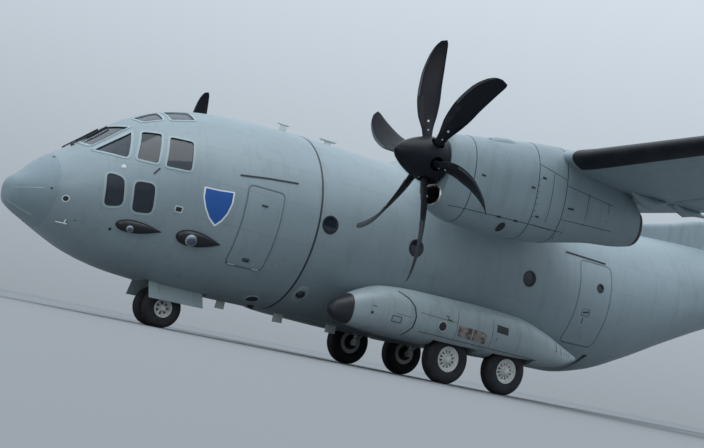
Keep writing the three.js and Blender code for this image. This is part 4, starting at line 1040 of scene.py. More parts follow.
def aerofoil(chord, t, m=0.0, start=0.0, end=1.0, nose=False, grow=0.0):
    """One section, or the part of it between two chord fractions, as (back, up) pairs."""
    fr = [start] + [
        f for f in FRACTIONS if start + 0.015 < f < end - 0.015 or (start == 0 < f < end - 0.015)
    ] + [end]
    fr = sorted(set(fr))
    top = [(f * chord, (section_rise(f, m) + section_depth(f, t)) * chord + grow) for f in fr]
    bottom = [(f * chord, (section_rise(f, m) - section_depth(f, t)) * chord - grow) for f in reversed(fr)]
    if start == 0:
        return top[1:] + bottom[:-1] + [(-grow, 0.0)]
    if nose:
        r = section_depth(start, t) * chord
        angles = [247.5 - 135 * k / 10 for k in range(11)]
        return top + bottom + [(start * chord + r * cos(radians(a)),
                                section_rise(start, m) * chord + r * sin(radians(a))) for a in angles]
    return top + bottom


def wing_chord(y):
    k = max(abs(y) - WING["joint"], 0) / (WING["end"] - WING["joint"])
    return WING["chord"] + (WING["tip"] - WING["chord"]) * k


def wing_rise(y):
    return max(abs(y) - WING["joint"], 0) * tan(WING["dihedral"])


def wing_place(y, d, h):
    ci, si = cos(WING["incidence"]), sin(WING["incidence"])
    return Vector((BOW - WING["station"] - d * ci + h * si, y, WING["z"] + wing_rise(y) + d * si + h * ci))


def wing_ring(y, **options):
    return [wing_place(y, d, h) for d, h in aerofoil(wing_chord(y), WING_T, WING_M, **options)]


def wing_hinge(y):
    c = wing_chord(y)
    return wing_place(y, HINGE * c, section_rise(HINGE, WING_M) * c)


def surface_room(y0, y1):
    def edge(y):
        return wing_hinge(y).x + section_depth(HINGE, WING_T) * wing_chord(y) + 0.012
    return slab([(edge(y0), y0, 3.0), (edge(y1), y1, 3.0), (-3, y1, 3.0), (-3, y0, 3.0)], (0, 0, 3.5))


def bracket_hinges(leaf, ends, noses, shares):
    """Notches a hinged surface and gives the fixed arms and cross pins that carry it. ends are
    the two ends of its hinge line, noses the radii of its round nose there."""
    a, b = ends
    along = (b - a).normalized()
    up = along.cross(Vector((1, 0, 0))).normalized()
    fore = up.cross(along).normalized()

    def plate(centre, wide, f0, f1, tall):
        corners = ((f0, -tall / 2), (f1, -tall / 2), (f1, tall / 2), (f0, tall / 2))
        return slab([centre - along * wide / 2 + fore * f + up * h for f, h in corners], along * wide)

    arms, notches = [], []
    for share in shares:
        centre, r = a.lerp(b, share), noses[0] + (noses[1] - noses[0]) * share
        notches.append(plate(centre, 0.06, -0.3 * r - 0.01, 1.6 * r, 2.6 * r))
        arms.append(plate(centre, 0.036, 0, r + 0.03, 0.5 * r))
        arms.append(rod(centre - along * 0.0295, centre + along * 0.0295, 0.3 * r, points=16))
    carve(leaf, notches)
    return arms


wing_paint = service_paint("wing_paint", GREY, lines=[("Y", 0.74, 0.3), ("X", 0.92, 0.22)], rough=0.45)
INNER_FLAP, OUTER_FLAP, AILERON = (1.96, 5.65), (5.65, 9.70), (9.70, 13.90)
centre_wing = draw_rings("centre_wing", [wing_ring(y) for y in span(-WING["joint"], WING["joint"], 1.13)])
carve(centre_wing, [surface_room(side * INNER_FLAP[0], side * (INNER_FLAP[1] + 0.02)) for side in (1, -1)])
dress(centre_wing, wing_paint, stands_for="wing_centre")
surfaces = (("flap_inner", INNER_FLAP), ("flap_outer", OUTER_FLAP), ("aileron", AILERON))
for side, word in SIDES:
    panel = draw_rings(
        f"outer_wing_{word}", [wing_ring(side * y) for y in span(WING["joint"] + 0.001, WING["end"], 0.87)]
    )
    carve(panel, [surface_room(side * (OUTER_FLAP[0] - 0.02), side * AILERON[1])])
    dress(panel, wing_paint, stands_for=f"wing_{word}")
    arms = []
    for label, (y0, y1) in surfaces:
        leaf = draw_rings(
            f"{label}_skin_{word}",
            [wing_ring(side * y, start=HINGE, nose=True) for y in span(y0 + 0.012, y1 - 0.012, 0.8)]
        )
        inner, outer = y0 + 0.012, y1 - 0.012
        noses = [section_depth(HINGE, WING_T) * wing_chord(y) for y in (inner, outer)]
        arms += bracket_hinges(leaf, [wing_hinge(side * y) for y in (inner, outer)], noses, (0.16, 0.84))
        dress(leaf, wing_paint, f"{label}_{word}", stands_for=f"{label}_{word}")
    dress(join(f"wing_hinge_arms_{word}", arms), wing_paint)

# Wing fittings
# Black rubber boots cover the leading edges, a landing lamp sits behind glass
# in each one, and split canoe fairings hide the flap tracks.
boot_rubber = worn_finish(
    "boot_rubber", 5.0, 6.0, 0.7, tones=(srgb(20, 22, 27), srgb(54, 58, 64)), mask=(0.5, 0.78, 0.0, 0.6),
    gloss=(0.30, 0.55), bump=(0.12, 0.004), plain={"Specular IOR Level": 0.25}
)
BOOT_SHARE = 0.085


def boot_ring(y, place, chord, t, m=0.0, share=BOOT_SHARE, proud=0.004):
    """A glove round the leading edge: an outer line a little proud, an inner one below the skin."""
    fr = [f for f in FRACTIONS if f < share] + [share]
    c = chord(y)

    def row(grow):
        top, low = [], []
        for f in fr[1:]:
            rise, depth = section_rise(f, m) * c, section_depth(f, t) * c + grow
            top.append((f * c, rise + depth))
            low.append((f * c, rise - depth))
        return top[::-1] + [(-grow, 0.0)] + low
    return [place(y, d, h) for d, h in row(proud) + row(-0.006)[::-1]]


def wing_glove(name, side, stops, **shape):
    rings = [boot_ring(side * y, wing_place, wing_chord, WING_T, WING_M, **shape) for y in stops]
    return draw_rings(name, rings)


boots = []
for side in (1, -1):
    for y0, y1 in ((1.5, 4.18), (5.32, 8.22), (8.68, 14.2)):
        stops = [y0] + span(WING["joint"], y1, 0.7) if y0 < WING["joint"] < y1 else span(y0, y1, 0.7)
        boots.append(wing_glove("boot", side, stops))
dress(join("wing_boots", boots), boot_rubber, angle=50)
lamp_cover = worn_finish("lamp_cover", 9.0, 0, bump=(0.3, 0.006), pattern="TexWave", plain={
    "Base Color": (0.80, 0.82, 0.80, 1), "Roughness": 0.06,
    "Emission Color": (1.0, 0.9, 0.72, 1), "Emission Strength": 0.7})
lamps = [wing_glove("lamp_window", side, (8.26, 8.45, 8.64), share=0.05, proud=0.003) for side in (1, -1)]
dress(join("wing_lamp_covers", lamps), lamp_cover, angle=50)
TIP_TINTS = {"port": (0.55, 0.03, 0.02, 1), "starboard": (0.02, 0.35, 0.10, 1)}
for side, word in SIDES:
    tint = TIP_TINTS[word]
    tip_glass = worn_finish(
        f"tip_glass_{word}", 14.0, 0, tones=(tint, darker(tint, 0.6)), pattern="TexWave",
        plain={"Roughness": 0.08}
    )
    glass = wing_glove(f"tip_lamp_{word}", side, (14.24, 14.29, 14.34), share=0.10, proud=0.003)
    dress(glass, tip_glass, angle=50)
TRACK_DEPTH, TRACK_HALF = 0.20, 0.085


def canoe(y, start, stop, drop):
    """One part of a track fairing under the wing, in shares of the chord; drop sets how far
    each share hangs below the skin."""
    c, rings = wing_chord(y), []
    for k in range(9):
        f = start + (stop - start) * k / 8
        base = (section_rise(f, WING_M) - section_depth(min(f, 0.97), WING_T)) * c
        deep, half = drop(k / 8)
        rings.append([wing_place(y, f * c, base - deep / 2 + 0.01 + (deep / 2 + 0.01) * sin(a))
                      + Vector((0, half * cos(a), 0)) for a in turns(18)])
    return draw_rings("canoe", rings)


def front_drop(t):
    tail_off = 1 - max(t - 0.72, 0) * 2.6
    return (0.02 + TRACK_DEPTH * sin(pi * min(t, 0.72) / 1.44) * tail_off,
            0.02 + TRACK_HALF * sin(pi * min(t, 0.7) / 1.4))


def rear_drop(t):
    return (0.02 + TRACK_DEPTH * 0.8 * min(t / 0.35, 1) * (1 - max(t - 0.35, 0) / 0.68),
            0.02 + TRACK_HALF * (1 - 0.8 * t))


for side, word in SIDES:
    for label, y in (("inner", 2.75), ("inner", 5.30), ("outer", 8.3)):
        dress(canoe(side * y, 0.46, 0.70, front_drop), wing_paint, angle=60)
        dress(canoe(side * y, 0.775, 1.06, rear_drop), wing_paint, f"flap_{label}_{word}", angle=60)

# Wing fairing
# A moulded laminate hood, screwed down along its edges, blends the wing into
# the crown of the hull.
HOOD = [
    (7.5, 0.70, 1.75), (7.8, 1.05, 1.835), (8.15, 1.25, 2.03), (8.7, 1.33, 2.16),
    (9.6, 1.33, 2.185), (10.6, 1.25, 2.11), (11.5, 1.05, 1.95), (12.5, 0.70, 1.79),
]
hood_half, hood_top = fair_curve(HOOD, 1), fair_curve(HOOD, 2)
hood_rings = []
for s in span(7.5, 12.5, 0.125):
    arch = [(hood_half(s) * cos(pi * i / 40), 1.3 + (hood_top(s) - 1.3) * sin(pi * i / 40) ** 0.7)
            for i in range(41)]
    hood_rings.append([at(s, y, z) for y, z in arch + [(0, 1.29)]])
hood = draw_rings("wing_hood", hood_rings)
carve(hood, [hull_form("core", (7.0, 13.0))])
dress(hood, hull_paint, stands_for="wing_fairing")

# Nacelles
# Each engine cowl is a flattened oval of sheet and laminate with a chin
# intake, running back through the wing to a round exhaust.
NACELLE_Y = 4.75
SHAFT_Z, CHIN_Z, ENGINE_Z, EXHAUST_Z = 1.10, 0.54, 0.94, 1.01  # heights from the hull's axis
COWL = [
    (5.64, 0.40, 1.51, 0.35, 1.00), (5.72, 0.45, 1.60, 0.29, 0.99), (6.05, 0.50, 1.68, 0.19, 0.97),
    (6.80, 0.52, 1.81, 0.165, 0.98), (7.50, 0.52, 1.94, 0.20, 1.01), (8.00, 0.51, 2.01, 0.26, 1.05),
    (8.60, 0.49, 2.05, 0.39, 1.10), (9.30, 0.45, 1.95, 0.53, 1.13), (9.90, 0.38, 1.67, 0.60, 1.10),
    (10.22, 0.31, 1.38, 0.68, 1.03),
]
cowl_half, cowl_top, cowl_low, cowl_widest = (fair_curve(COWL, k) for k in (1, 2, 3, 4))
COWL_SQUARE = 0.85


def squared(turn, power):
    """The cosine and sine of a turn, drawn out towards the corners of a square."""
    return [copysign(abs(v) ** power, v) for v in (cos(turn), sin(turn))]


def cowl_ring(s, y0, inset=0.0):
    ring = []
    for turn in turns(56):
        c, q = squared(turn, COWL_SQUARE)
        reach = cowl_top(s) - cowl_widest(s) if q >= 0 else cowl_widest(s) - cowl_low(s)
        ring.append(at(s, y0 + (cowl_half(s) - inset) * c, cowl_widest(s) + (reach - inset) * q))
    return ring


def oval_ring(s, y, z, wide, high, count=40):
    """An upright oval across the plane, by its middle, half width and half height."""
    return [at(s, y + wide * cos(turn), z + high * sin(turn)) for turn in turns(count)]


def bar(s0, s1, y, z, radius, points=20):
    """A round bar along the plane."""
    return rod(at(s0, y, z), at(s1, y, z), radius, points=points)


cowl_paint = service_paint("cowl_paint", srgb(124, 140, 146), rough=0.42, grime=0.25, soil=0.3)
bare_lip = worn_finish(
    "bare_lip", 18.0, 5.0, gloss=(0.22, 0.42), plain={"Base Color": (0.62, 0.62, 0.60, 1), "Metallic": 1.0}
)
for side, word in SIDES:
    y0 = side * NACELLE_Y
    cowl = draw_rings(
        f"cowl_{word}",
        [cowl_ring(s, y0) for s in [5.64, 5.655, 5.68, 5.72, 5.8, 5.92] + span(6.05, 10.22, 0.21)]
    )
    carve(cowl, [bar(5.5, 5.76, y0, SHAFT_Z, 0.36, 48)])
    chin_rows = ((5.5, 0.258, 0.156), (5.64, 0.256, 0.153), (5.75, 0.245, 0.145), (6.4, 0.22, 0.13))
    carve(cowl, [draw_rings("chin_mouth", [oval_ring(s, y0, CHIN_Z, w, h) for s, w, h in chin_rows])])
    carve(cowl, [bar(9.5, 10.4, y0, EXHAUST_Z, 0.19, 40)])
    dress(cowl, cowl_paint, stands_for=f"nacelle_{word}")

# Nacelle fittings
# The chin intake has a bare metal lip and the cowl sheets meet in dark joints
# with flush latches; a scoop and drains are let in, and a steel exhaust pokes out.


def squared_place(section, face):
    """Places on the outboard or inboard face of a squared oval, by station and height;
    section gives its middle offset, half width, widest height, top, foot and squareness."""
    def spot(s, z):
        y, half, wide, top, low, square = section(s)
        share = (z - wide) / (top - wide) if z >= wide else (wide - z) / (wide - low)
        q = min(share, 0.995) ** (1 / square)
        return at(s, y + face * half * sqrt(1 - q * q) ** square, z)

    def place(p, lift):
        here = spot(p[0], p[1])
        out = (spot(p[0] + 0.01, p[1]) - here).cross(spot(p[0], p[1] + 0.01) - here).normalized()
        return here + out * lift * (1 if out.y * face > 0 else -1)
    return place


def plate_on(place, outline, lift, thick, core, ring=0.0, cuts=2):
    return skin_plate("plate", outline, lambda a, b: place((a, b), lift), lambda p: core, thick, ring, cuts)


scorched = worn_finish(
    "scorched_steel", 8.0, 6.0, tones=((0.11, 0.095, 0.085, 1), (0.03, 0.03, 0.032, 1)), gloss=(0.35, 0.7),
    plain={"Metallic": 0.8}
)
dull_black = service_paint("dull_black", srgb(24, 25, 27), rough=0.6, grime=0.1)
COWL_JOINTS = (6.08, 7.44, 8.10)
scoop_rise = fair_curve([(6.49, -0.02), (6.60, 0.005), (6.75, 0.010), (6.95, -0.005), (7.05, -0.05)], 1)
for side, word in SIDES:
    y0 = side * NACELLE_Y

    def cowl_section(s):
        return y0, cowl_half(s), cowl_widest(s), cowl_top(s), cowl_low(s), COWL_SQUARE

    lines, pale, dark = [], [], []
    for s in COWL_JOINTS:
        hoop = draw_rings("hoop", [cowl_ring(s + off, y0, -0.0025) for off in (-0.007, 0.007)], ends="open")
        lines.append(modify(hoop, "SOLIDIFY", thickness=0.004, offset=-1))
    for face in (1, -1):
        place = squared_place(cowl_section, face)
        for path in (
            [(5.80, 0.40), (8.30, 0.50)], [(7.46, 1.52), (8.08, 1.40)], [(7.78, 0.46), (7.78, 1.44)],
            [(8.12, 1.30), (9.3, 1.22)], [(8.66, 0.72), (8.66, 1.28)], [(9.20, 0.74), (9.20, 1.24)],
            [(8.12, 0.70), (9.4, 0.78)]
        ):
            lines.append(skin_line(stepped(path, 0.15), 0.010, place, 0.002))
        for s, z in ((6.22, 1.02), (7.30, 1.08), (6.75, 0.44), (7.12, 0.455), (7.52, 1.30), (7.52, 0.62),
                     (8.20, 0.92), (8.26, 0.93)):
            dark.append(skin_line([(s, z), (s + 0.08, z)], 0.030, place, 0.006))
        core = at(7.5, y0, 1.0)
        pale.append(plate_on(place, disc((6.94, 0.30), 0.10), -0.002, 0.010, core, ring=0.02))
        dark.append(plate_on(place, disc((6.94, 0.30), 0.085), -0.002, 0.004, core))
        pale.append(plate_on(place, disc((8.22, 0.43), 0.07), -0.002, 0.022, core))
        for k in range(7):
            dark.append(
                plate_on(place, disc((7.55 + 0.07 * k, 0.475), 0.012, 8), -0.001, 0.003, core, cuts=1)
            )
            dark.append(
                plate_on(place, disc((7.47, 0.60 + 0.11 * k), 0.010, 8), -0.001, 0.003, core, cuts=1)
            )
    scoop_y, scoop_rings = y0 + side * 0.16, []
    for s in span(6.49, 7.05, 0.07):
        rise = 0.125 + scoop_rise(s)
        arch = [pi * i / 12 for i in range(13)]
        scoop_rings.append(
            [at(s, scoop_y + 0.11 * cos(a), cowl_top(s) - 0.12 + rise * sin(a)) for a in arch]
        )
    pale.append(draw_rings("scoop", scoop_rings))
    mouth_z = cowl_top(6.49) - 0.045
    dark.append(bar(6.475, 6.50, scoop_y, mouth_z, 0.024, 16))
    dress(join(f"cowl_joints_{word}", lines), line_paint)
    dress(join(f"cowl_latches_{word}", dark), dark_trim)
    dress(join(f"cowl_vents_{word}", pale), cowl_paint, angle=50)
    lip_rows = [(5.75, -0.006), (5.66, -0.003), (5.63, 0.004), (5.618, 0.014), (5.622, 0.026),
                (5.64, 0.033), (5.68, 0.033), (5.75, 0.02)]
    lip = [oval_ring(s, y0, CHIN_Z, 0.255 + off, 0.152 + off, 48) for s, off in lip_rows]
    dress(draw_rings(f"intake_lip_{word}", lip, "open"), bare_lip, angle=60)
    duct_rows = ((5.66, 0.249, 0.146), (5.9, 0.235, 0.138), (6.3, 0.22, 0.126), (6.3, 0.02, 0.01))
    duct = [oval_ring(s, y0, CHIN_Z, w, h, 48) for s, w, h in duct_rows]
    dress(draw_rings(f"intake_duct_{word}", duct, "open"), dull_black, angle=60)
    pipe_rows = [(10.0, 0.182), (10.30, 0.176), (10.33, 0.170), (10.30, 0.160), (9.9, 0.165), (9.8, 0.02)]
    stub = [[at(s + 0.10 * sin(a), y0 + r * cos(a), EXHAUST_Z + r * sin(a)) for a in turns(40)]
            for s, r in pipe_rows]
    dress(draw_rings(f"exhaust_{word}", stub, "open"), scorched, angle=50)
    rim_rows = (
        (10.15, -0.003), (10.215, -0.004), (10.25, 0.012), (10.25, 0.05), (10.225, 0.06), (10.15, 0.06)
    )
    dress(draw_rings(f"nozzle_rim_{word}", [cowl_ring(s, y0, inset) for s, inset in rim_rows], "open"),
          scorched, angle=50)
    engine_rows = ((6.06, 0.20), (6.20, 0.27), (6.60, 0.28), (6.64, 0.235), (7.30, 0.235), (7.36, 0.28),
                   (7.90, 0.265), (8.38, 0.20), (8.45, 0.18))
    casing = [oval_ring(s, y0, ENGINE_Z, r, r, 32) for s, r in engine_rows]
    engine = [draw_rings("casing", casing), bar(6.15, 5.592, y0, SHAFT_Z, 0.075, 24)]
    engine += [bar(s, s + 0.025, y0, ENGINE_Z, r + 0.02, 32) for s, r in engine_rows[1:-1]]
    for a in (0.4, 1.3, 2.2, 3.4, 4.4, 5.5):
        ends = [at(s, y0 + r * cos(a), ENGINE_Z + r * sin(a)) for s, r in ((6.9, 0.26), (7.9, 0.275))]
        engine.append(rod(*ends, 0.014, points=8))
    engine.append(draw_rings("mount", [cowl_ring(s, y0, 0.09) for s in (7.56, 7.62)]))
    dress(join(f"engine_detail_{word}", engine), scorched, stands_for=f"engine_{word}")

# Propellers
# Six swept laminate blades, near black, turn in a spun spinner; each has a
# round root, a thin tip and a worn leading edge.
PROP_STATION = 5.40
BLADE_PHASE = 11.0  # degrees, the top blade's lean to starboard
BLADE = [
    # radius, chord, sweep along the turn, setting from the disc, thickness share
    (0.33, 0.150, 0.000, 62, 0.90), (0.52, 0.190, 0.020, 58, 0.55), (0.80, 0.330, 0.045, 52, 0.20),
    (1.15, 0.400, 0.040, 45, 0.12), (1.50, 0.390, -0.010, 40, 0.09), (1.80, 0.320, -0.110, 37, 0.08),
    (1.98, 0.220, -0.215, 35, 0.08), (2.045, 0.110, -0.275, 34, 0.08),
]
blade_chord, blade_sweep, blade_set, blade_depth = (fair_curve(BLADE, k) for k in (1, 2, 3, 4))
blade_black = worn_finish(
    "blade_black", 9.0, 6.0, 0.7, tones=(srgb(14, 18, 26), srgb(32, 37, 47)), mask=(0.45, 0.75, 0.0, 0.35),
    gloss=(0.30, 0.50), bump=(0.15, 0.004), plain={"Specular IOR Level": 0.2}
)
worn_nickel = worn_finish(
    "worn_nickel", 20.0, 5.0, gloss=(0.25, 0.5),
    plain={"Base Color": (0.075, 0.08, 0.095, 1), "Metallic": 0.7}
)


def blade_spot(r, c, h):
    """A place on a blade that points up, by radius, chordwise reach and height over the chord."""
    p = radians(blade_set(r))
    return Vector((c * sin(p) + h * cos(p), h * sin(p) - c * cos(p) - blade_sweep(r), r))


def blade_ring(r, spin, hub, grow=0.0, share=1.0):
    """One blade section, set to its pitch and turned round the shaft, or the share of it that
    lies along the leading edge."""
    chord, ring = blade_chord(r), []
    for a in turns(28):
        c = cos(a) * (chord / 2 + grow)
        h = sin(a) * (chord * blade_depth(r) / 2 + grow) * (1 - 0.25 * cos(a))
        if share < 1:
            c = max(c, chord * (0.5 - share))
        ring.append(spin @ blade_spot(r, c, h) + hub)
    return ring


BLADE_SPINS = [Matrix.Rotation(radians(60 * k + BLADE_PHASE), 3, "X") for k in range(6)]
for side, word in SIDES:
    hub = at(PROP_STATION, side * NACELLE_Y, SHAFT_Z)

    def spun(name, rows, count):
        """A body turned about the shaft: rows are (radius, distance ahead of the hub)."""
        return draw_rings(name, [oval_ring(PROP_STATION - d, hub.y, SHAFT_Z, r, r, count) for r, d in rows])

    radii = [0.2, 0.33, 0.42] + span(0.52, 1.95, 0.11) + [2.0, 2.025, 2.04, 2.045]
    blades = [draw_rings("blade", [blade_ring(r, spin, hub) for r in radii]) for spin in BLADE_SPINS]
    hub_rows = [(0.001, 0.13), (0.23, 0.13), (0.27, 0.09), (0.27, -0.15), (0.374, -0.15), (0.374, -0.19),
                (0.001, -0.19)]
    dress(join(f"blades_{word}", blades + [spun("hub_plate", hub_rows, 48)]), blade_black,
          f"propeller_{word}", stands_for=f"propeller_{word}")
    for label, finish, radii, grow, share in (
            ("boots", boot_rubber, span(0.55, 1.12, 0.095), 0.003, 0.34),
            ("sheaths", worn_nickel, span(1.13, 1.95, 0.1), 0.0025, 0.12)):
        wraps = [draw_rings("wrap", [blade_ring(r, spin, hub, grow, share) for r in radii])
                 for spin in BLADE_SPINS]
        dress(join(f"blade_{label}_{word}", wraps), finish, f"propeller_{word}", angle=60)
    marks, root_holes = [], []
    for spin in BLADE_SPINS:
        for r, radius in ((0.49, 0.013), (0.66, 0.020)):
            turn = radians(blade_set(r))
            for face in (1, -1):
                spot = blade_spot(r, -blade_chord(r) * 0.06, face * (blade_chord(r) * blade_depth(r) / 2))
                out = Vector((cos(turn), sin(turn), 0)) * face
                foot, top = (spin @ (spot + out * d) + hub for d in (-0.02, 0.005))
                marks.append(rod(foot, top, radius, points=12))
        ends = [spin @ Vector((0, -0.01, r)) + hub for r in (0.25, 0.47)]
        root_holes.append(rod(*ends, 0.118, points=28))
    dress(join(f"blade_marks_{word}", marks), light_strip, f"propeller_{word}")
    nose_rows = [
        (0.002, 0.64), (0.02, 0.637), (0.045, 0.624), (0.08, 0.600), (0.135, 0.547), (0.18, 0.485),
        (0.23, 0.408), (0.275, 0.322), (0.315, 0.23), (0.348, 0.136), (0.37, 0.055), (0.38, 0.01),
        (0.385, -0.06), (0.387, -0.2), (0.357, -0.2), (0.35, 0), (0.25, 0.3), (0.002, 0.58)
    ]
    spinner = spun(f"spinner_dome_{word}", nose_rows, 64)
    carve(spinner, root_holes)
    dress(spinner, blade_black, f"propeller_{word}", stands_for=f"spinner_{word}", angle=50)

# Sponsons
# Long moulded pods along the belly carry the main gear, with a dark nose
# cone, two open wheel wells and a tail that fades into a point.
POD = [
    (5.80, 1.940, 0.020, -1.49, -1.53), (5.87, 1.935, 0.125, -1.38, -1.635),
    (6.08, 1.905, 0.235, -1.255, -1.73), (6.45, 1.820, 0.370, -1.065, -1.775),
    (7.10, 1.670, 0.545, -0.86, -1.805), (7.80, 1.600, 0.650, -0.81, -1.83),
    (9.30, 1.600, 0.665, -0.80, -1.84), (10.40, 1.600, 0.650, -0.84, -1.83),
    (11.15, 1.580, 0.560, -1.00, -1.79), (11.80, 1.560, 0.380, -1.21, -1.69),
    (12.40, 1.550, 0.090, -1.38, -1.48),
]
pod_y, pod_half, pod_top, pod_low = (fair_curve(POD, k) for k in (1, 2, 3, 4))
MAIN_STATIONS = (8.752, 10.268)
WELL_TOP = -1.08
POD_SQUARE = 0.8


def pod_ring(s, side):
    middle, reach, ring = (pod_top(s) + pod_low(s)) / 2, (pod_top(s) - pod_low(s)) / 2, []
    for turn in turns(64):
        c, q = squared(turn, POD_SQUARE)
        ring.append(at(s, side * (pod_y(s) + pod_half(s) * c), middle + reach * q))
    return ring


pod_paint = service_paint("pod_paint", srgb(150, 163, 167), rough=0.42, grime=0.4, soil=0.35)
CONE_STATIONS = (5.80, 5.805, 5.815, 5.83, 5.85, 5.87, 5.9, 5.94, 5.98, 6.03, 6.08, 6.15, 6.23)
pod_stations = [CONE_STATIONS[-1], 6.32, 6.45] + span(6.6, 11.8, 0.2) + [11.95, 12.1, 12.22, 12.32, 12.4]
for side, word in SIDES:
    pod = draw_rings(f"pod_skin_{word}", [pod_ring(s, side) for s in pod_stations])
    cone = draw_rings(f"pod_cone_{word}", [pod_ring(s, side) for s in CONE_STATIONS])
    dress(cone, dark_trim, angle=60)
    carve(pod, [hull_form("core", (5.4, 9.0, 12.85))])
    for s in MAIN_STATIONS:
        carve(pod, [block(at(s + 0.56, side * 1.395, -2.0), at(s - 0.56, side * 2.11, WELL_TOP))])
    dress(pod, pod_paint, stands_for=f"sponson_{word}")

# Sponson fittings
# The pods carry the auxiliary unit: a joint ring, an exhaust in a scorched
# plate, stained louvres, service panels and drains.
stain = worn_finish(
    "stained_louvre", 4.0, 6.0, 0.7, tones=(srgb(176, 172, 164), srgb(84, 66, 56)),
    mask=(0.38, 0.62, 0.0, 1.0), gloss=(0.45, 0.75), bump=(0.2, 0.004)
)
JOINT_RING = [(7.22, -0.93), (7.42, -1.03), (7.54, -1.16), (7.60, -1.34), (7.58, -1.55), (7.46, -1.74)]
POD_LINES = (
    # path of stations and heights, step, width, height over the skin
    (JOINT_RING, 0.06, 0.026, 0.004),
    ([(7.75, -1.60), (10.9, -1.66)], 0.15, 0.010, 0.002),
    ([(7.70, -1.24), (8.60, -1.28)], 0.15, 0.008, 0.002),
    ([(8.60, -1.05), (8.60, -1.60)], 0.08, 0.008, 0.002),
    ([(9.50, -1.05), (9.50, -1.62)], 0.08, 0.008, 0.002),
    ([(7.15, -1.36), (7.50, -1.37)], 0.1, 0.006, 0.002),
)


def sloped_box(s0, s1, z_top, z_low, fall):
    """A panel outline whose long edges fall along the pod."""
    return [(s0, z_low), (s1, z_low - fall), (s1, z_top - fall), (s0, z_top)]


for side, word in SIDES:
    def pod_section(s):
        top, low = pod_top(s), pod_low(s)
        return side * pod_y(s), pod_half(s), (top + low) / 2, top, low, POD_SQUARE

    place, core = squared_place(pod_section, side), at(9.0, side * 1.6, -1.35)
    lines = [skin_line(soft_box(7.08, 7.29, -1.52, -1.41, 0.015, 0.08), 0.014, place, 0.004, True)]
    for path, step, width, proud in POD_LINES:
        lines.append(skin_line(stepped(path, step), width, place, proud))
    lines += [skin_line(stepped([(s, -1.22 - 0.03 * k), (s + 0.01, -1.40 - 0.012 * k)], 0.06), 0.016, place,
                        0.003) for k, s in enumerate((11.42, 11.62, 11.78, 11.90, 12.00))]
    dark = [skin_line([(8.34, -1.245), (8.46, -1.275)], 0.018, place, 0.010),
            skin_line([(8.30, -1.19), (8.37, -1.21)], 0.014, place, 0.008),
            plate_on(place, sloped_box(9.60, 9.90, -1.13, -1.28, 0.02), -0.001, 0.004, core),
            plate_on(place, disc((9.62, -1.42), 0.014, 8), -0.001, 0.003, core, cuts=1)]
    dark.append(plate_on(place, disc((6.62, -1.44), 0.03, 16), -0.001, 0.003, core, cuts=1))
    dark.append(skin_line([(6.60, -1.31), (6.70, -1.315)], 0.012, place, 0.004))
    dress(plate_on(place, sloped_box(7.80, 8.52, -1.30, -1.54, 0.01), -0.002, 0.005, core), frame_paint)
    scorch = []
    for k in range(2):
        a = 8.64 + 0.38 * k
        scorch.append(plate_on(place, sloped_box(a, a + 0.35, -1.31 - 0.02 * k, -1.53 - 0.02 * k, 0.02),
                               -0.002, 0.004, core))
        for j in range(6):
            z = -1.33 - 0.02 * k - 0.034 * j
            scorch.append(skin_line([(a + 0.02, z), (a + 0.33, z - 0.018)], 0.012, place, 0.012))
    ring_at = place((8.24, -1.41), 0.0)
    out = (place((8.24, -1.41), 0.1) - ring_at).normalized()
    collar = rod(ring_at - out * 0.01, ring_at + out * 0.018, 0.112, 0.104, 36)
    mouth = rod(ring_at - out * 0.005, ring_at + out * 0.0195, 0.088, 0.088, 36)
    dress(join(f"pod_joints_{word}", lines), line_paint)
    dress(join(f"pod_dark_panels_{word}", dark + [mouth]), dark_trim)
    dress(join(f"pod_scorched_plates_{word}", scorch), stain)
    collar.name = f"pod_exhaust_collar_{word}"
    dress(collar, bare_lip)

# Tail
# The swept fin stands on the tail skin behind a long dorsal fillet; the
# tailplane passes through its foot.  Rudder and elevators hang on brackets.
FIN = dict(z0=AXIS + 1.95, z1=9.64, s0=16.95, c0=4.88, s1=20.56, c1=2.14, t=0.12, hinge=0.66)
TAIL = dict(z=AXIS + 2.18, half=6.2, s0=18.7, c0=2.90, s1=19.7, c1=1.50, t=0.12, hinge=0.68, inner=0.82)


def fin_at(z):
    k = (z - FIN["z0"]) / (FIN["z1"] - FIN["z0"])
    return FIN["s0"] + (FIN["s1"] - FIN["s0"]) * k, FIN["c0"] + (FIN["c1"] - FIN["c0"]) * k


def fin_place(z, d, h):
    return Vector((BOW - fin_at(z)[0] - d, h, z))


def fin_ring(z, **options):
    return [fin_place(z, d, h) for d, h in aerofoil(fin_at(z)[1], FIN["t"], **options)]


def tail_at(y):
    k = abs(y) / TAIL["half"]
    return TAIL["s0"] + (TAIL["s1"] - TAIL["s0"]) * k, TAIL["c0"] + (TAIL["c1"] - TAIL["c0"]) * k


def tail_place(y, d, h):
    return Vector((BOW - tail_at(y)[0] - d, y, TAIL["z"] + h))


def tail_ring(y, **options):
    return [tail_place(y, d, h) for d, h in aerofoil(tail_at(y)[1], TAIL["t"], **options)]


tail_paint = service_paint("tail_paint", GREY, lines=[("Z", 0.86, 0.3), ("X", 0.95, 0.4)], rough=0.45)
RUDDER_FOOT = TAIL["z"] + 0.26
fin = draw_rings("fin_skin", [fin_ring(z) for z in span(FIN["z0"], FIN["z1"], 0.5)])


def hinge_x(surface, s, c):
    return BOW - s - surface["hinge"] * c


def nose_radius(surface, c):
    """Radius of a control surface's round nose."""
    return section_depth(surface["hinge"], surface["t"]) * c


def nose_edge(surface, s, c):
    """How far forward the surface reaches, with its gap."""
    return hinge_x(surface, s, c) + nose_radius(surface, c) + 0.012


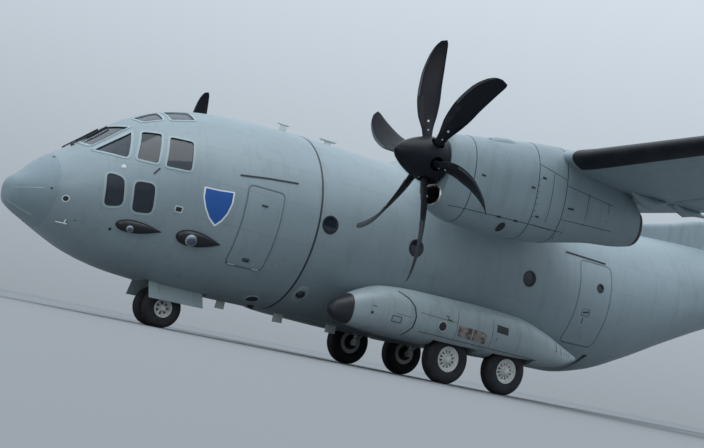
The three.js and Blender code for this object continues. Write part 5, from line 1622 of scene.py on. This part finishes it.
room = [(nose_edge(FIN, *fin_at(z)), -0.5, z) for z in (RUDDER_FOOT - 0.045, FIN["z1"] + 0.05)]
room += [(-13, -0.5, FIN["z1"] + 0.05), (-13, -0.5, RUDDER_FOOT - 0.045)]
carve(fin, [slab(room, (0, 1, 0))])
carve(fin, [block((-12, -0.6, 3.5), (BOW - 18.6, 0.6, TAIL["z"] + 0.003))])
FILLET = [
    (13.75, 0.04, 1.88), (15.0, 0.09, 2.19), (16.3, 0.14, 2.51), (17.6, 0.19, 2.83), (17.9, 0.19, 2.50)
]
fillet_half, fillet_top = fair_curve(FILLET, 1), fair_curve(FILLET, 2)
rings = []
for s in span(13.75, 17.9, 0.2):
    h, top = fillet_half(s), fillet_top(s)
    half = [(1.0, 1.7), (1.0, top - 0.14), (0.94, top - 0.08), (0.8, top - 0.035), (0.55, top - 0.01),
            (0.25, top)]
    arch = half + [(-a, z) for a, z in reversed(half)]
    rings.append([at(s, h * a, z) for a, z in arch])
fillet = draw_rings("dorsal_fillet", rings)
dress(join("fin_and_fillet", [fin, fillet]), tail_paint, stands_for="fin")
rudder = draw_rings(
    "rudder_skin", [fin_ring(z, start=FIN["hinge"], nose=True) for z in span(RUDDER_FOOT, FIN["z1"], 0.6)]
)
stops = (RUDDER_FOOT, FIN["z1"])
ends = [Vector((hinge_x(FIN, *fin_at(z)), 0, z)) for z in stops]
tail_arms = bracket_hinges(rudder, ends, [nose_radius(FIN, fin_at(z)[1]) for z in stops], (0.14, 0.82))
dress(rudder, tail_paint, "rudder", stands_for="rudder")
tailplane = draw_rings("tailplane_skin", [tail_ring(y) for y in span(-TAIL["half"], TAIL["half"], 0.775)])
for side, word in SIDES:
    y0, y1 = side * TAIL["inner"], side * (TAIL["half"] - 0.12)
    room = [(nose_edge(TAIL, *tail_at(y)), y, 4) for y in (y0, y1)] + [(-13, y1, 4), (-13, y0, 4)]
    carve(tailplane, [slab(room, (0, 0, 1.5))])
    leaf = draw_rings(f"elevator_skin_{word}", [tail_ring(y, start=TAIL["hinge"], nose=True)
                      for y in span(y0 + side * 0.012, y1 - side * 0.012, 0.75 if side > 0 else -0.75)])
    stops = (y0 + side * 0.012, y1 - side * 0.012)
    ends = [Vector((hinge_x(TAIL, *tail_at(y)), y, TAIL["z"])) for y in stops]
    tail_arms += bracket_hinges(leaf, ends, [nose_radius(TAIL, tail_at(y)[1]) for y in stops], (0.14, 0.84))
    dress(leaf, tail_paint, f"elevator_{word}", stands_for=f"elevator_{word}")
dress(tailplane, tail_paint, stands_for="tailplane")
dress(join("tail_hinge_arms", tail_arms), tail_paint)

# Tail fittings
# Rubber boots on the leading edges, wicks that bleed off static, a beacon on
# the fin tip and a lamp in the tail end.
boots = []
for side in (1, -1):
    rings = [boot_ring(side * y, tail_place, lambda q: tail_at(q)[1], TAIL["t"])
             for y in span(0.95, 6.1, 0.86)]
    boots.append(draw_rings("boot", rings))
rings = [boot_ring(z, fin_place, lambda q: fin_at(q)[1], FIN["t"]) for z in span(5.1, 9.5, 0.73)]
boots.append(draw_rings("boot", rings))
dress(join("tail_boots", boots), boot_rubber, angle=50)


def wicks(name, body, roots, reach):
    """Thin rods that trail from the rear edge of a control surface."""
    rods = [rod(root, root + Vector((-reach, 0, -0.01)), 0.005, 0.002, 8) for root in roots]
    dress(join(name, rods), dark_trim, body)


wicks("rudder_wicks", "rudder", [Vector((BOW - sum(fin_at(z)) + 0.02, 0, z)) for z in (7.2, 8.3, 9.2)],
      0.11)
for side, word in SIDES:
    roots = [Vector((BOW - sum(tail_at(y)) + 0.02, side * y, TAIL["z"])) for y in (3.6, 4.7, 5.7)]
    wicks(f"elevator_wicks_{word}", f"elevator_{word}", roots, 0.14)
    roots = [wing_place(side * y, wing_chord(y) * 0.985, 0.0) for y in (10.6, 12.2, 13.6)]
    wicks(f"aileron_wicks_{word}", f"aileron_{word}", roots, 0.16)
beacon_red = worn_finish(
    "beacon_red", 30.0, 0, tones=((0.55, 0.03, 0.02, 1), (0.35, 0.02, 0.015, 1)), pattern="TexWave",
    plain={"Roughness": 0.1}
)
beacon = lens(Vector((BOW - fin_at(9.55)[0] - 0.5, 0, 9.592)), Vector((0, 0, 1)), 0.07, 0.046)
dress(beacon, beacon_red, angle=60)
dress(lens(at(TAIL_END - 0.035, 0, 1.54), Vector((-1, 0, 0)), 0.05, 0.05), lamp_cover,
      angle=60)

# Wheels
# Each main wheel is a cast rim with twelve slots between spokes and a ribbed
# tyre; the nose has two smaller ones on one axle.
rubber = worn_finish(
    "tyre_rubber_worn", 6.0, 7.0, 0.7, tones=(srgb(27, 28, 34), srgb(56, 56, 60)),
    mask=(0.4, 0.75, 0.0, 0.8), gloss=(0.62, 0.9), bump=(0.3, 0.003)
)
rim_paint = service_paint("rim_paint", srgb(214, 216, 212), rough=0.36, grime=0.5, soil=0.6)
strut_steel = worn_finish(
    "strut_steel", 14.0, 6.0, tones=((0.50, 0.51, 0.52, 1), (0.30, 0.31, 0.32, 1)), gloss=(0.24, 0.5),
    plain={"Metallic": 1.0}
)
gear_paint = service_paint("gear_paint", srgb(196, 200, 198), rough=0.4, grime=0.5, soil=0.6)


def turned(name, rows, hub, side=1, count=64, ends="cap"):
    """A body turned about a wheel axle: rows are (radius, distance outboard)."""
    rings = [[hub + Vector((r * cos(a), side * d, r * sin(a))) for a in turns(count)] for r, d in rows]
    return draw_rings(name, rings, ends)


def tyre_rows(bead, crown, half, grooves):
    """Half of a tyre's outline, mirrored: bead, bulging wall, rounded shoulder, grooved tread."""
    high = crown - bead
    wall = [(bead, half * 0.74), (bead + 0.02, half * 0.86), (bead + high * 0.30, half * 0.985),
            (bead + high * 0.5, half), (bead + high * 0.70, half * 0.965),
            (bead + high * 0.86, half * 0.84), (crown - high * 0.05, half * 0.66), (crown, half * 0.50)]
    tread = []
    for g in grooves:
        tread += [(crown, g + 0.006), (crown - 0.012, g + 0.004), (crown - 0.012, g - 0.004),
                  (crown, g - 0.006)]
    right = wall + tread
    return right + [(r, -d) for r, d in reversed(right)] + [right[0]]


def wheel(label, hub, side, bead, tread_r, half, grooves, face, holes, rim_node, tyre_node):
    """A tyre on its rim. bead is the rim's radius, half the tyre's half width, face where the
    spokes stand and holes their number; the rim's node is also its body."""
    tyre = turned(f"tyre_{label}", tyre_rows(bead, tread_r, half, grooves), hub, 1, 72, "open")
    dress(tyre, rubber, rim_node, stands_for=tyre_node)
    lip = half * 0.80
    rows = [
        (0.0005, -lip * 0.9), (bead * 0.18, -lip * 0.9), (bead - 0.03, -lip * 0.9), (bead, -lip),
        (bead + 0.004, -lip), (bead + 0.012, -lip + 0.012), (bead - 0.004, -lip + 0.02),
        (bead - 0.004, lip - 0.02), (bead + 0.012, lip - 0.012), (bead + 0.004, lip), (bead - 0.01, lip),
        (bead - 0.03, lip - 0.02), (bead * 0.80, face + 0.01), (bead * 0.72, face),
        (bead * 0.42, face + 0.012), (bead * 0.36, face + 0.035), (bead * 0.30, face + 0.04),
        (bead * 0.28, face + 0.075), (bead * 0.20, face + 0.09), (0.0005, face + 0.092)
    ]
    rim = turned(f"rim_{label}", rows, hub, side, 64)
    slots, bolts = [], []
    for k in range(holes):
        a, wide = 2 * pi * (k + 0.5) / holes, 0.30 * 2 * pi / holes
        corners = [(bead * 0.42, -wide * 0.8), (bead * 0.70, -wide), (bead * 0.72, 0), (bead * 0.70, wide),
                   (bead * 0.42, wide * 0.8)]
        outline = [hub + Vector((r * cos(a + off), side * (face - 0.10), r * sin(a + off)))
                   for r, off in corners]
        slots.append(slab(outline, (0, side * 0.20, 0)))
    carve(rim, slots)
    for a in turns(holes):
        spot = hub + Vector((bead * 0.33 * cos(a), side * (face + 0.030), bead * 0.33 * sin(a)))
        bolts.append(rod(spot, spot + Vector((0, side * 0.018, 0)), 0.009, points=6))
    dress(join(f"rim_{label}", [rim] + bolts), rim_paint, rim_node, stands_for=rim_node)


TRACK, MAIN_RADIUS, NOSE_RADIUS, NOSE_STATION = 3.668, 0.495, 0.3685, 3.28
for k, s in enumerate(MAIN_STATIONS):
    for side, word in SIDES:
        label = f"{('front', 'rear')[k]}_{word}"
        hub = Vector((BOW - s, side * TRACK / 2, MAIN_RADIUS))
        wheel(f"main_{label}", hub, side, 0.248, MAIN_RADIUS, 0.162, (0.055, 0.02), 0.075, 12,
              f"main_wheel_{label}", f"main_tyre_{label}")
for side, word in SIDES:
    hub = Vector((BOW - NOSE_STATION, side * 0.225, NOSE_RADIUS))
    wheel(f"nose_{word}", hub, side, 0.172, NOSE_RADIUS, 0.124, (0.035, 0.012), 0.045, 7,
          "nose_wheels", f"nose_tyre_{word}")


def pin(x, y, z, half, radius, points=20):
    """A bar across the plane, by its middle and half length."""
    return rod((x, y - half, z), (x, y + half, z), radius, points=points)


dress(pin(BOW - NOSE_STATION, 0, NOSE_RADIUS, 0.24, 0.034), strut_steel, "nose_wheels")

# Landing gear
# Painted forged cylinders with bright pistons, scissor links that keep the
# wheels straight, brake packs and rubber hoses clipped along them.
LEG_Y = 1.545


def column(x, y, z0, z1, radius, points=28):
    return rod((x, y, z0), (x, y, z1), radius, points=points)


def pipe(name, path, radius, points=10):
    """A drawn tube or hose along a path, closed at its ends."""
    rings = []
    for i, p in enumerate(path):
        way = (path[min(i + 1, len(path) - 1)] - path[max(i - 1, 0)]).normalized()
        across = way.cross(Vector((0.31, 0.22, 0.92))).normalized()
        over = way.cross(across)
        rings.append([p + across * radius * cos(a) + over * radius * sin(a) for a in turns(points)])
    return draw_rings(name, rings)


def bowed(a, b, bow, steps=9):
    """Points along a hose that hangs or bulges between its two ends."""
    a, b, bow = Vector(a), Vector(b), Vector(bow)
    return [a + (b - a) * k / steps + bow * sin(pi * k / steps) for k in range(steps + 1)]


def scissor(x, y, z0, z1, reach, width):
    """Two forged links that meet at a pin off to one side of a leg."""
    middle = (z0 + z1) / 2
    parts = []
    for end in (z0, z1):
        for off in (-width, width):
            near, far = y + off - 0.014, y + off * 0.5 - 0.014
            outline = [(x, near, end - 0.02), (x, near, end + 0.02),
                       (x + reach, far, middle + 0.014), (x + reach, far, middle - 0.014)]
            parts.append(slab(outline, (0, 0.028, 0), "link"))
        parts.append(pin(x, y, end, width + 0.02, 0.016, 12))
    parts.append(pin(x + reach, y, middle, width * 0.5 + 0.025, 0.015, 12))
    return parts


for k, s in enumerate(MAIN_STATIONS):
    for side, word in SIDES:
        label = f"{('front', 'rear')[k]}_{word}"
        x, y, hub_y = BOW - s, side * LEG_Y, side * TRACK / 2
        painted = [
            column(x, y, 0.90, AXIS + WELL_TOP - 0.0005, 0.07), column(x, y, 0.885, 0.925, 0.078),
            column(x, y, 1.28, 1.33, 0.084), column(x, y, MAIN_RADIUS - 0.065, MAIN_RADIUS + 0.075, 0.07),
            rod((x, y - side * 0.02, MAIN_RADIUS), (x, y + side * 0.15, MAIN_RADIUS), 0.06, 0.05),
        ] + scissor(x - 0.065, y, 0.585, 0.90, -0.15, 0.04)
        dress(join(f"main_leg_{label}_cylinder", painted), gear_paint,
              stands_for=f"main_leg_{label}")
        bright = [column(x, y, MAIN_RADIUS, 0.91, 0.048),
                  rod((x, y, MAIN_RADIUS), (x, hub_y, MAIN_RADIUS), 0.045)]
        dress(join(f"main_leg_{label}_piston", bright), strut_steel)
        pack = [rod((x, hub_y - side * d, MAIN_RADIUS), (x, hub_y - side * (d + 0.014), MAIN_RADIUS), r,
                    points=36) for d, r in ((0.135, 0.165), (0.157, 0.155), (0.179, 0.145))]
        dress(join(f"brake_pack_{label}", pack), dull_black)
        hoses = []
        for off in (-0.015, 0.015):
            high, low = (x + 0.072, y + off, 1.2), (x + 0.06, y + off + side * 0.06, 0.53)
            hoses.append(pipe("hose", bowed(high, low, (0.05, side * 0.03, 0)), 0.008, 8))
        dress(join(f"brake_hoses_{label}", hoses), dull_black)

x = BOW - NOSE_STATION
upper_leg = [
    column(x, 0, 0.672, AXIS - 0.9005, 0.085, 32), column(x, 0, 0.672, 0.705, 0.092, 32),
    column(x, 0, 1.02, 1.09, 0.10, 32), pin(x - 0.05, 0, 0.86, 0.14, 0.03),
    rod((x, -0.06, 0.98), (x - 0.62, -0.10, 1.34), 0.028),
    rod((x, 0.06, 0.98), (x - 0.62, 0.10, 1.34), 0.028),
]
dress(join("nose_leg_cylinder", upper_leg), gear_paint, stands_for="nose_leg")
lower_leg = [
    column(x, 0, NOSE_RADIUS, 0.6695, 0.058, 32), column(x, 0, 0.625, 0.668, 0.084, 32),
    pin(x, 0, NOSE_RADIUS, 0.075, 0.066, 28),
] + scissor(x - 0.06, 0, 0.42, 0.645, -0.10, 0.03)
fork = join("nose_fork_piston", lower_leg)
carve(fork, [pin(x, 0, NOSE_RADIUS, 0.2, 0.0352)])
dress(fork, strut_steel, "nose_fork", stands_for="nose_fork")
lamp_glass = worn_finish("lamp_glass", 9.0, 0, pattern="TexWave", plain={
    "Base Color": (0.85, 0.86, 0.84, 1), "Roughness": 0.08,
    "Emission Color": (1.0, 0.93, 0.78, 1), "Emission Strength": 1.6})
cups, lenses = [], []
TAXI_LAMP_Z = 0.83  # clear of the tyres when the wheels steer
for off in (-0.13, 0.13):
    a = Vector((x + 0.02, off, TAXI_LAMP_Z))
    cups.append(rod(a, a + Vector((0.09, 0, -0.012)), 0.045, 0.062, 28))
    lenses.append(rod(a + Vector((0.088, 0, -0.012)), a + Vector((0.094, 0, -0.0128)), 0.056, 0.05, 28))
cups.append(pin(x + 0.03, 0, TAXI_LAMP_Z, 0.14, 0.014))
dress(join("taxi_lamp_cups", cups), gear_paint)
dress(join("taxi_lamp_lenses", lenses), lamp_glass)

# Nose gear doors
# Two thin honeycomb leaves stay open beside the leg, hinged on the edges of
# the bay, each with a stay rod.
LEAF_SECTION = (
    (0.416, -1.65), (0.4297, -1.65), (0.4297, -1.724), (0.582, -1.99), (0.568, -1.997), (0.416, -1.73)
)
for side, word in SIDES:
    rings = [[at(s, side * y, z) for y, z in LEAF_SECTION] for s in span(2.85, 3.95, 0.275)]
    leaf = soften(draw_rings(f"nose_gear_leaf_{word}", rings), 0.004, 35)
    stays = [rod(at(s, side * 0.416, -1.67), at(s, side * 0.53, -1.90), 0.012, points=12)
             for s in (3.05, 3.75)]
    dress(join(f"nose_gear_leaf_{word}", [leaf] + stays), frame_paint, stands_for=f"nose_gear_door_{word}")

# Hold
# A floor of planks with roller tracks and lashing rings between the hull frames,
# and lamp boxes along the ceiling.
deck_paint = service_paint(
    "deck_paint", srgb(92, 96, 96), lines=[("Y", 0.28, 0.14), ("X", 1.22, 0.1)], rough=0.5, grime=0.4,
    soil=0.5
)
hold_floor = block(at(13.11, -1.4, HOLD_FLOOR - 0.11), at(3.6, 1.4, HOLD_FLOOR))
carve(hold_floor, [hull_form("core", span(3.3, 13.5, 0.6), WALL + 0.002)], "INTERSECT")
dress(hold_floor, deck_paint, stands_for="cargo_floor")
floor_top = AXIS + HOLD_FLOOR
tracks, rollers = [], []
for y in (-0.98, -0.52, 0.52, 0.98):
    for off in (-0.14, 0.14):
        low, high = at(13.0, y + off - 0.01, HOLD_FLOOR - 0.01), at(4.2, y + off + 0.01, HOLD_FLOOR + 0.05)
        tracks.append(small_box(low, high, 0.004))
    rollers += [pin(BOW - s, y, floor_top + 0.036, 0.128, 0.024, 12) for s in span(4.4, 12.8, 0.35)]
tracks += [
    rod(at(s, y, HOLD_FLOOR - 0.01), at(s, y, HOLD_FLOOR + 0.012), 0.045, 0.038, points=16)
    for y in (-1.24, 0, 1.24) for s in span(4.6, 12.8, 0.82)
]
dress(join("roller_tracks", tracks), frame_paint)
dress(join("rollers", rollers), worn_nickel, angle=50)
RAMP_TOP = (Vector((13.17, HOLD_FLOOR - 0.005)), Vector(ramp_arc[-1]))  # station and height
RAMP_LANES = ((-1.08, -0.30), (0.30, 1.08))
ramp_way = (RAMP_TOP[1] - RAMP_TOP[0]).normalized()


def ramp_strip(start, end, y0, y1, low, high):
    """A flat bar on top of the ramp, between two distances up its slope."""
    corners = [RAMP_TOP[0] + ramp_way * d + Vector((-ramp_way.y, ramp_way.x)) * h
               for d, h in ((start, low), (end, low), (end, high), (start, high))]
    return slab([at(c.x, y0, c.y) for c in corners], (0, y1 - y0, 0))


ramp_deck = join("ramp_deck", [ramp_strip(0.05, 2.80, -1.17, 1.17, -0.003, 0.006)])
dress(ramp_deck, deck_paint, "cargo_ramp")
treads = [
    ramp_strip(d, d + 0.035, y0, y1, 0.003, 0.018) for d in span(0.15, 2.65, 0.19) for y0, y1 in RAMP_LANES
]
treads += [ramp_strip(0.10, 2.74, y - 0.012, y + 0.012, 0.003, 0.030) for y in (-0.16, 0.16)]
dress(join("ramp_treads", treads), frame_paint, "cargo_ramp")
RIB_SECTION = ((0, -0.002), (0.035, -0.002), (0.035, 0.065), (0, 0.065))
STRINGERS = ((1.12, 0.95), (-1.12, 0.95), (0.75, 1.32), (-0.75, 1.32))
ribs = []
for s in span(4.75, 11.85, 0.5):
    if min(abs(s - w) for w in ROUND_WINDOWS) > 0.24:
        ribs.append(draw_rings("rib", [hull_ring(s + a, WALL + d) for a, d in RIB_SECTION], "open"))
ribs += [bar(12.0, 4.7, y, z, 0.02, 10) for y, z in STRINGERS]
dress(join("hull_frames", ribs), frame_paint)
ceiling = [
    small_box(at(s + 0.22, y - 0.06, 1.39), at(s - 0.22, y + 0.06, 1.46)) for s in (5.3, 7.3, 9.3, 11.3)
    for y in (-0.55, 0.55)
]
dress(join("hold_lamps", ceiling), lamp_cover)

# Flight deck
# A crowned floor carries the instrument panel under its glare shield, the
# centre pedestal with its levers, two padded seats and a rear bulkhead.
deck = block(at(3.59, -1.5, -0.90), at(1.05, 1.5, -0.82))
carve(deck, [hull_form("core", span(0.9, 4.0, 0.25), WALL + 0.002)], "INTERSECT")
panel = block(at(1.50, -1.1, -0.82), at(1.15, 1.1, -0.02))
carve(panel, [hull_form("core", span(0.9, 2.0, 0.25), WALL + 0.016)], "INTERSECT")
pedestal = small_box(at(2.30, -0.18, -0.83), at(1.48, 0.18, -0.45), 0.02)
bulkhead = block(at(3.56, -1.5, -0.84), at(3.53, 1.5, 1.6))
carve(bulkhead, [hull_form("core", (3.0, 3.5, 4.0), WALL - 0.01)], "INTERSECT")
carve(bulkhead, [block(at(3.7, -0.33, -0.80), at(3.4, 0.33, 1.0))])
cockpit_grey = service_paint("cockpit_grey", srgb(70, 76, 80), rough=0.55, grime=0.25, soil=0.3)
dress(join("flight_deck_detail", [deck, panel, pedestal, bulkhead]), cockpit_grey,
      stands_for="flight_deck")
shade = block(at(1.60, -1.02, -0.05), at(1.20, 1.02, -0.018))
carve(shade, [hull_form("core", span(0.9, 2.0, 0.25), WALL + 0.01)], "INTERSECT")
controls = [shade]
for k, y in enumerate((-0.09, -0.03, 0.03, 0.09)):
    s = 1.70 + 0.02 * k
    controls += [rod(at(s + 0.05, y, -0.46), at(s, y, -0.33), 0.009, points=10),
                 lens(at(s, y, -0.32), Vector((0, 0, 1)), 0.022, 0.02)]
for y in (-0.5, 0.5):
    controls += [
        rod(at(1.85, y, -0.83), at(1.72, y, -0.38), 0.022, points=14),
        pin(BOW - 1.72, y, AXIS - 0.34, 0.15, 0.016, 12),
        small_box(at(2.78, y - 0.22, -0.83), at(2.36, y + 0.22, -0.55), 0.02)
    ]
    controls += [
        rod(at(1.72, y + off, -0.36), at(1.72, y + off, -0.24), 0.018, points=12) for off in (-0.15, 0.15)
    ]
dress(join("flight_deck_controls", controls), dull_black, angle=50)
screen = worn_finish(
    "screen_glass", 14.0, 3.0, tones=((0.012, 0.016, 0.02, 1), (0.03, 0.04, 0.05, 1)), gloss=(0.08, 0.2)
)
displays = [
    small_box(at(1.512, y - 0.13, -0.34), at(1.496, y + 0.13, -0.12), 0.004)
    for y in (-0.72, -0.40, 0, 0.40, 0.72)
]
displays += [small_box(at(2.2, -0.12, -0.452), at(1.95, 0.12, -0.442), 0.004)]
dress(join("flight_deck_screens", displays), screen)
seat_cloth = worn_finish(
    "seat_cloth", 7.0, 5.0, tones=(srgb(52, 58, 56), srgb(84, 90, 86)), gloss=(0.8, 0.95)
)
tree = seat_cloth.node_tree
wires = [("Vector", put(tree, "TexCoord").outputs["Object"]), ("Scale", 60.0), ("Distortion", 1.5),
         ("Detail", 2.0)]
emboss(tree, tree.nodes["Principled BSDF"], put(tree, "TexWave", wires).outputs[1], 0.4, 0.002)


def pad(name, middle, reach, steps=14):
    """A stuffed form, crowned between its seams; middle is station, offset and height."""
    s, y, z = middle
    rings = []
    for k in range(steps + 1):
        t = -1 + 2 * k / steps
        full, ring = max((1 - abs(t) ** 4) ** 0.5, 0.05), []
        for turn in turns(32):
            across, along = squared(turn, 0.5)
            ring.append(at(s - reach[0] * full * along, y + reach[1] * t, z + reach[2] * full * across))
        rings.append(ring)
    return draw_rings(name, rings)


for y, word in ((0.5, "port"), (-0.5, "starboard")):
    places = (
        ("cushion", (2.56, y, -0.50), (0.25, 0.23, 0.060)),
        ("back", (2.83, y, -0.19), (0.055, 0.22, 0.30)), ("head", (2.83, y, 0.24), (0.040, 0.12, 0.09))
    )
    for label, middle, reach in places:
        cushion = dress(
            pad(f"seat_{label}_{word}", middle, reach), seat_cloth, angle=70
        )
    posts = [rod(at(2.83, y + off, 0.08), at(2.83, y + off, 0.20), 0.008, points=10)
             for off in (-0.05, 0.05)]
    shell = small_box(at(2.91, y - 0.23, -0.56), at(2.875, y + 0.23, 0.12), 0.012)
    dress(join(f"seat_frame_{word}", posts + [shell]), dull_black)
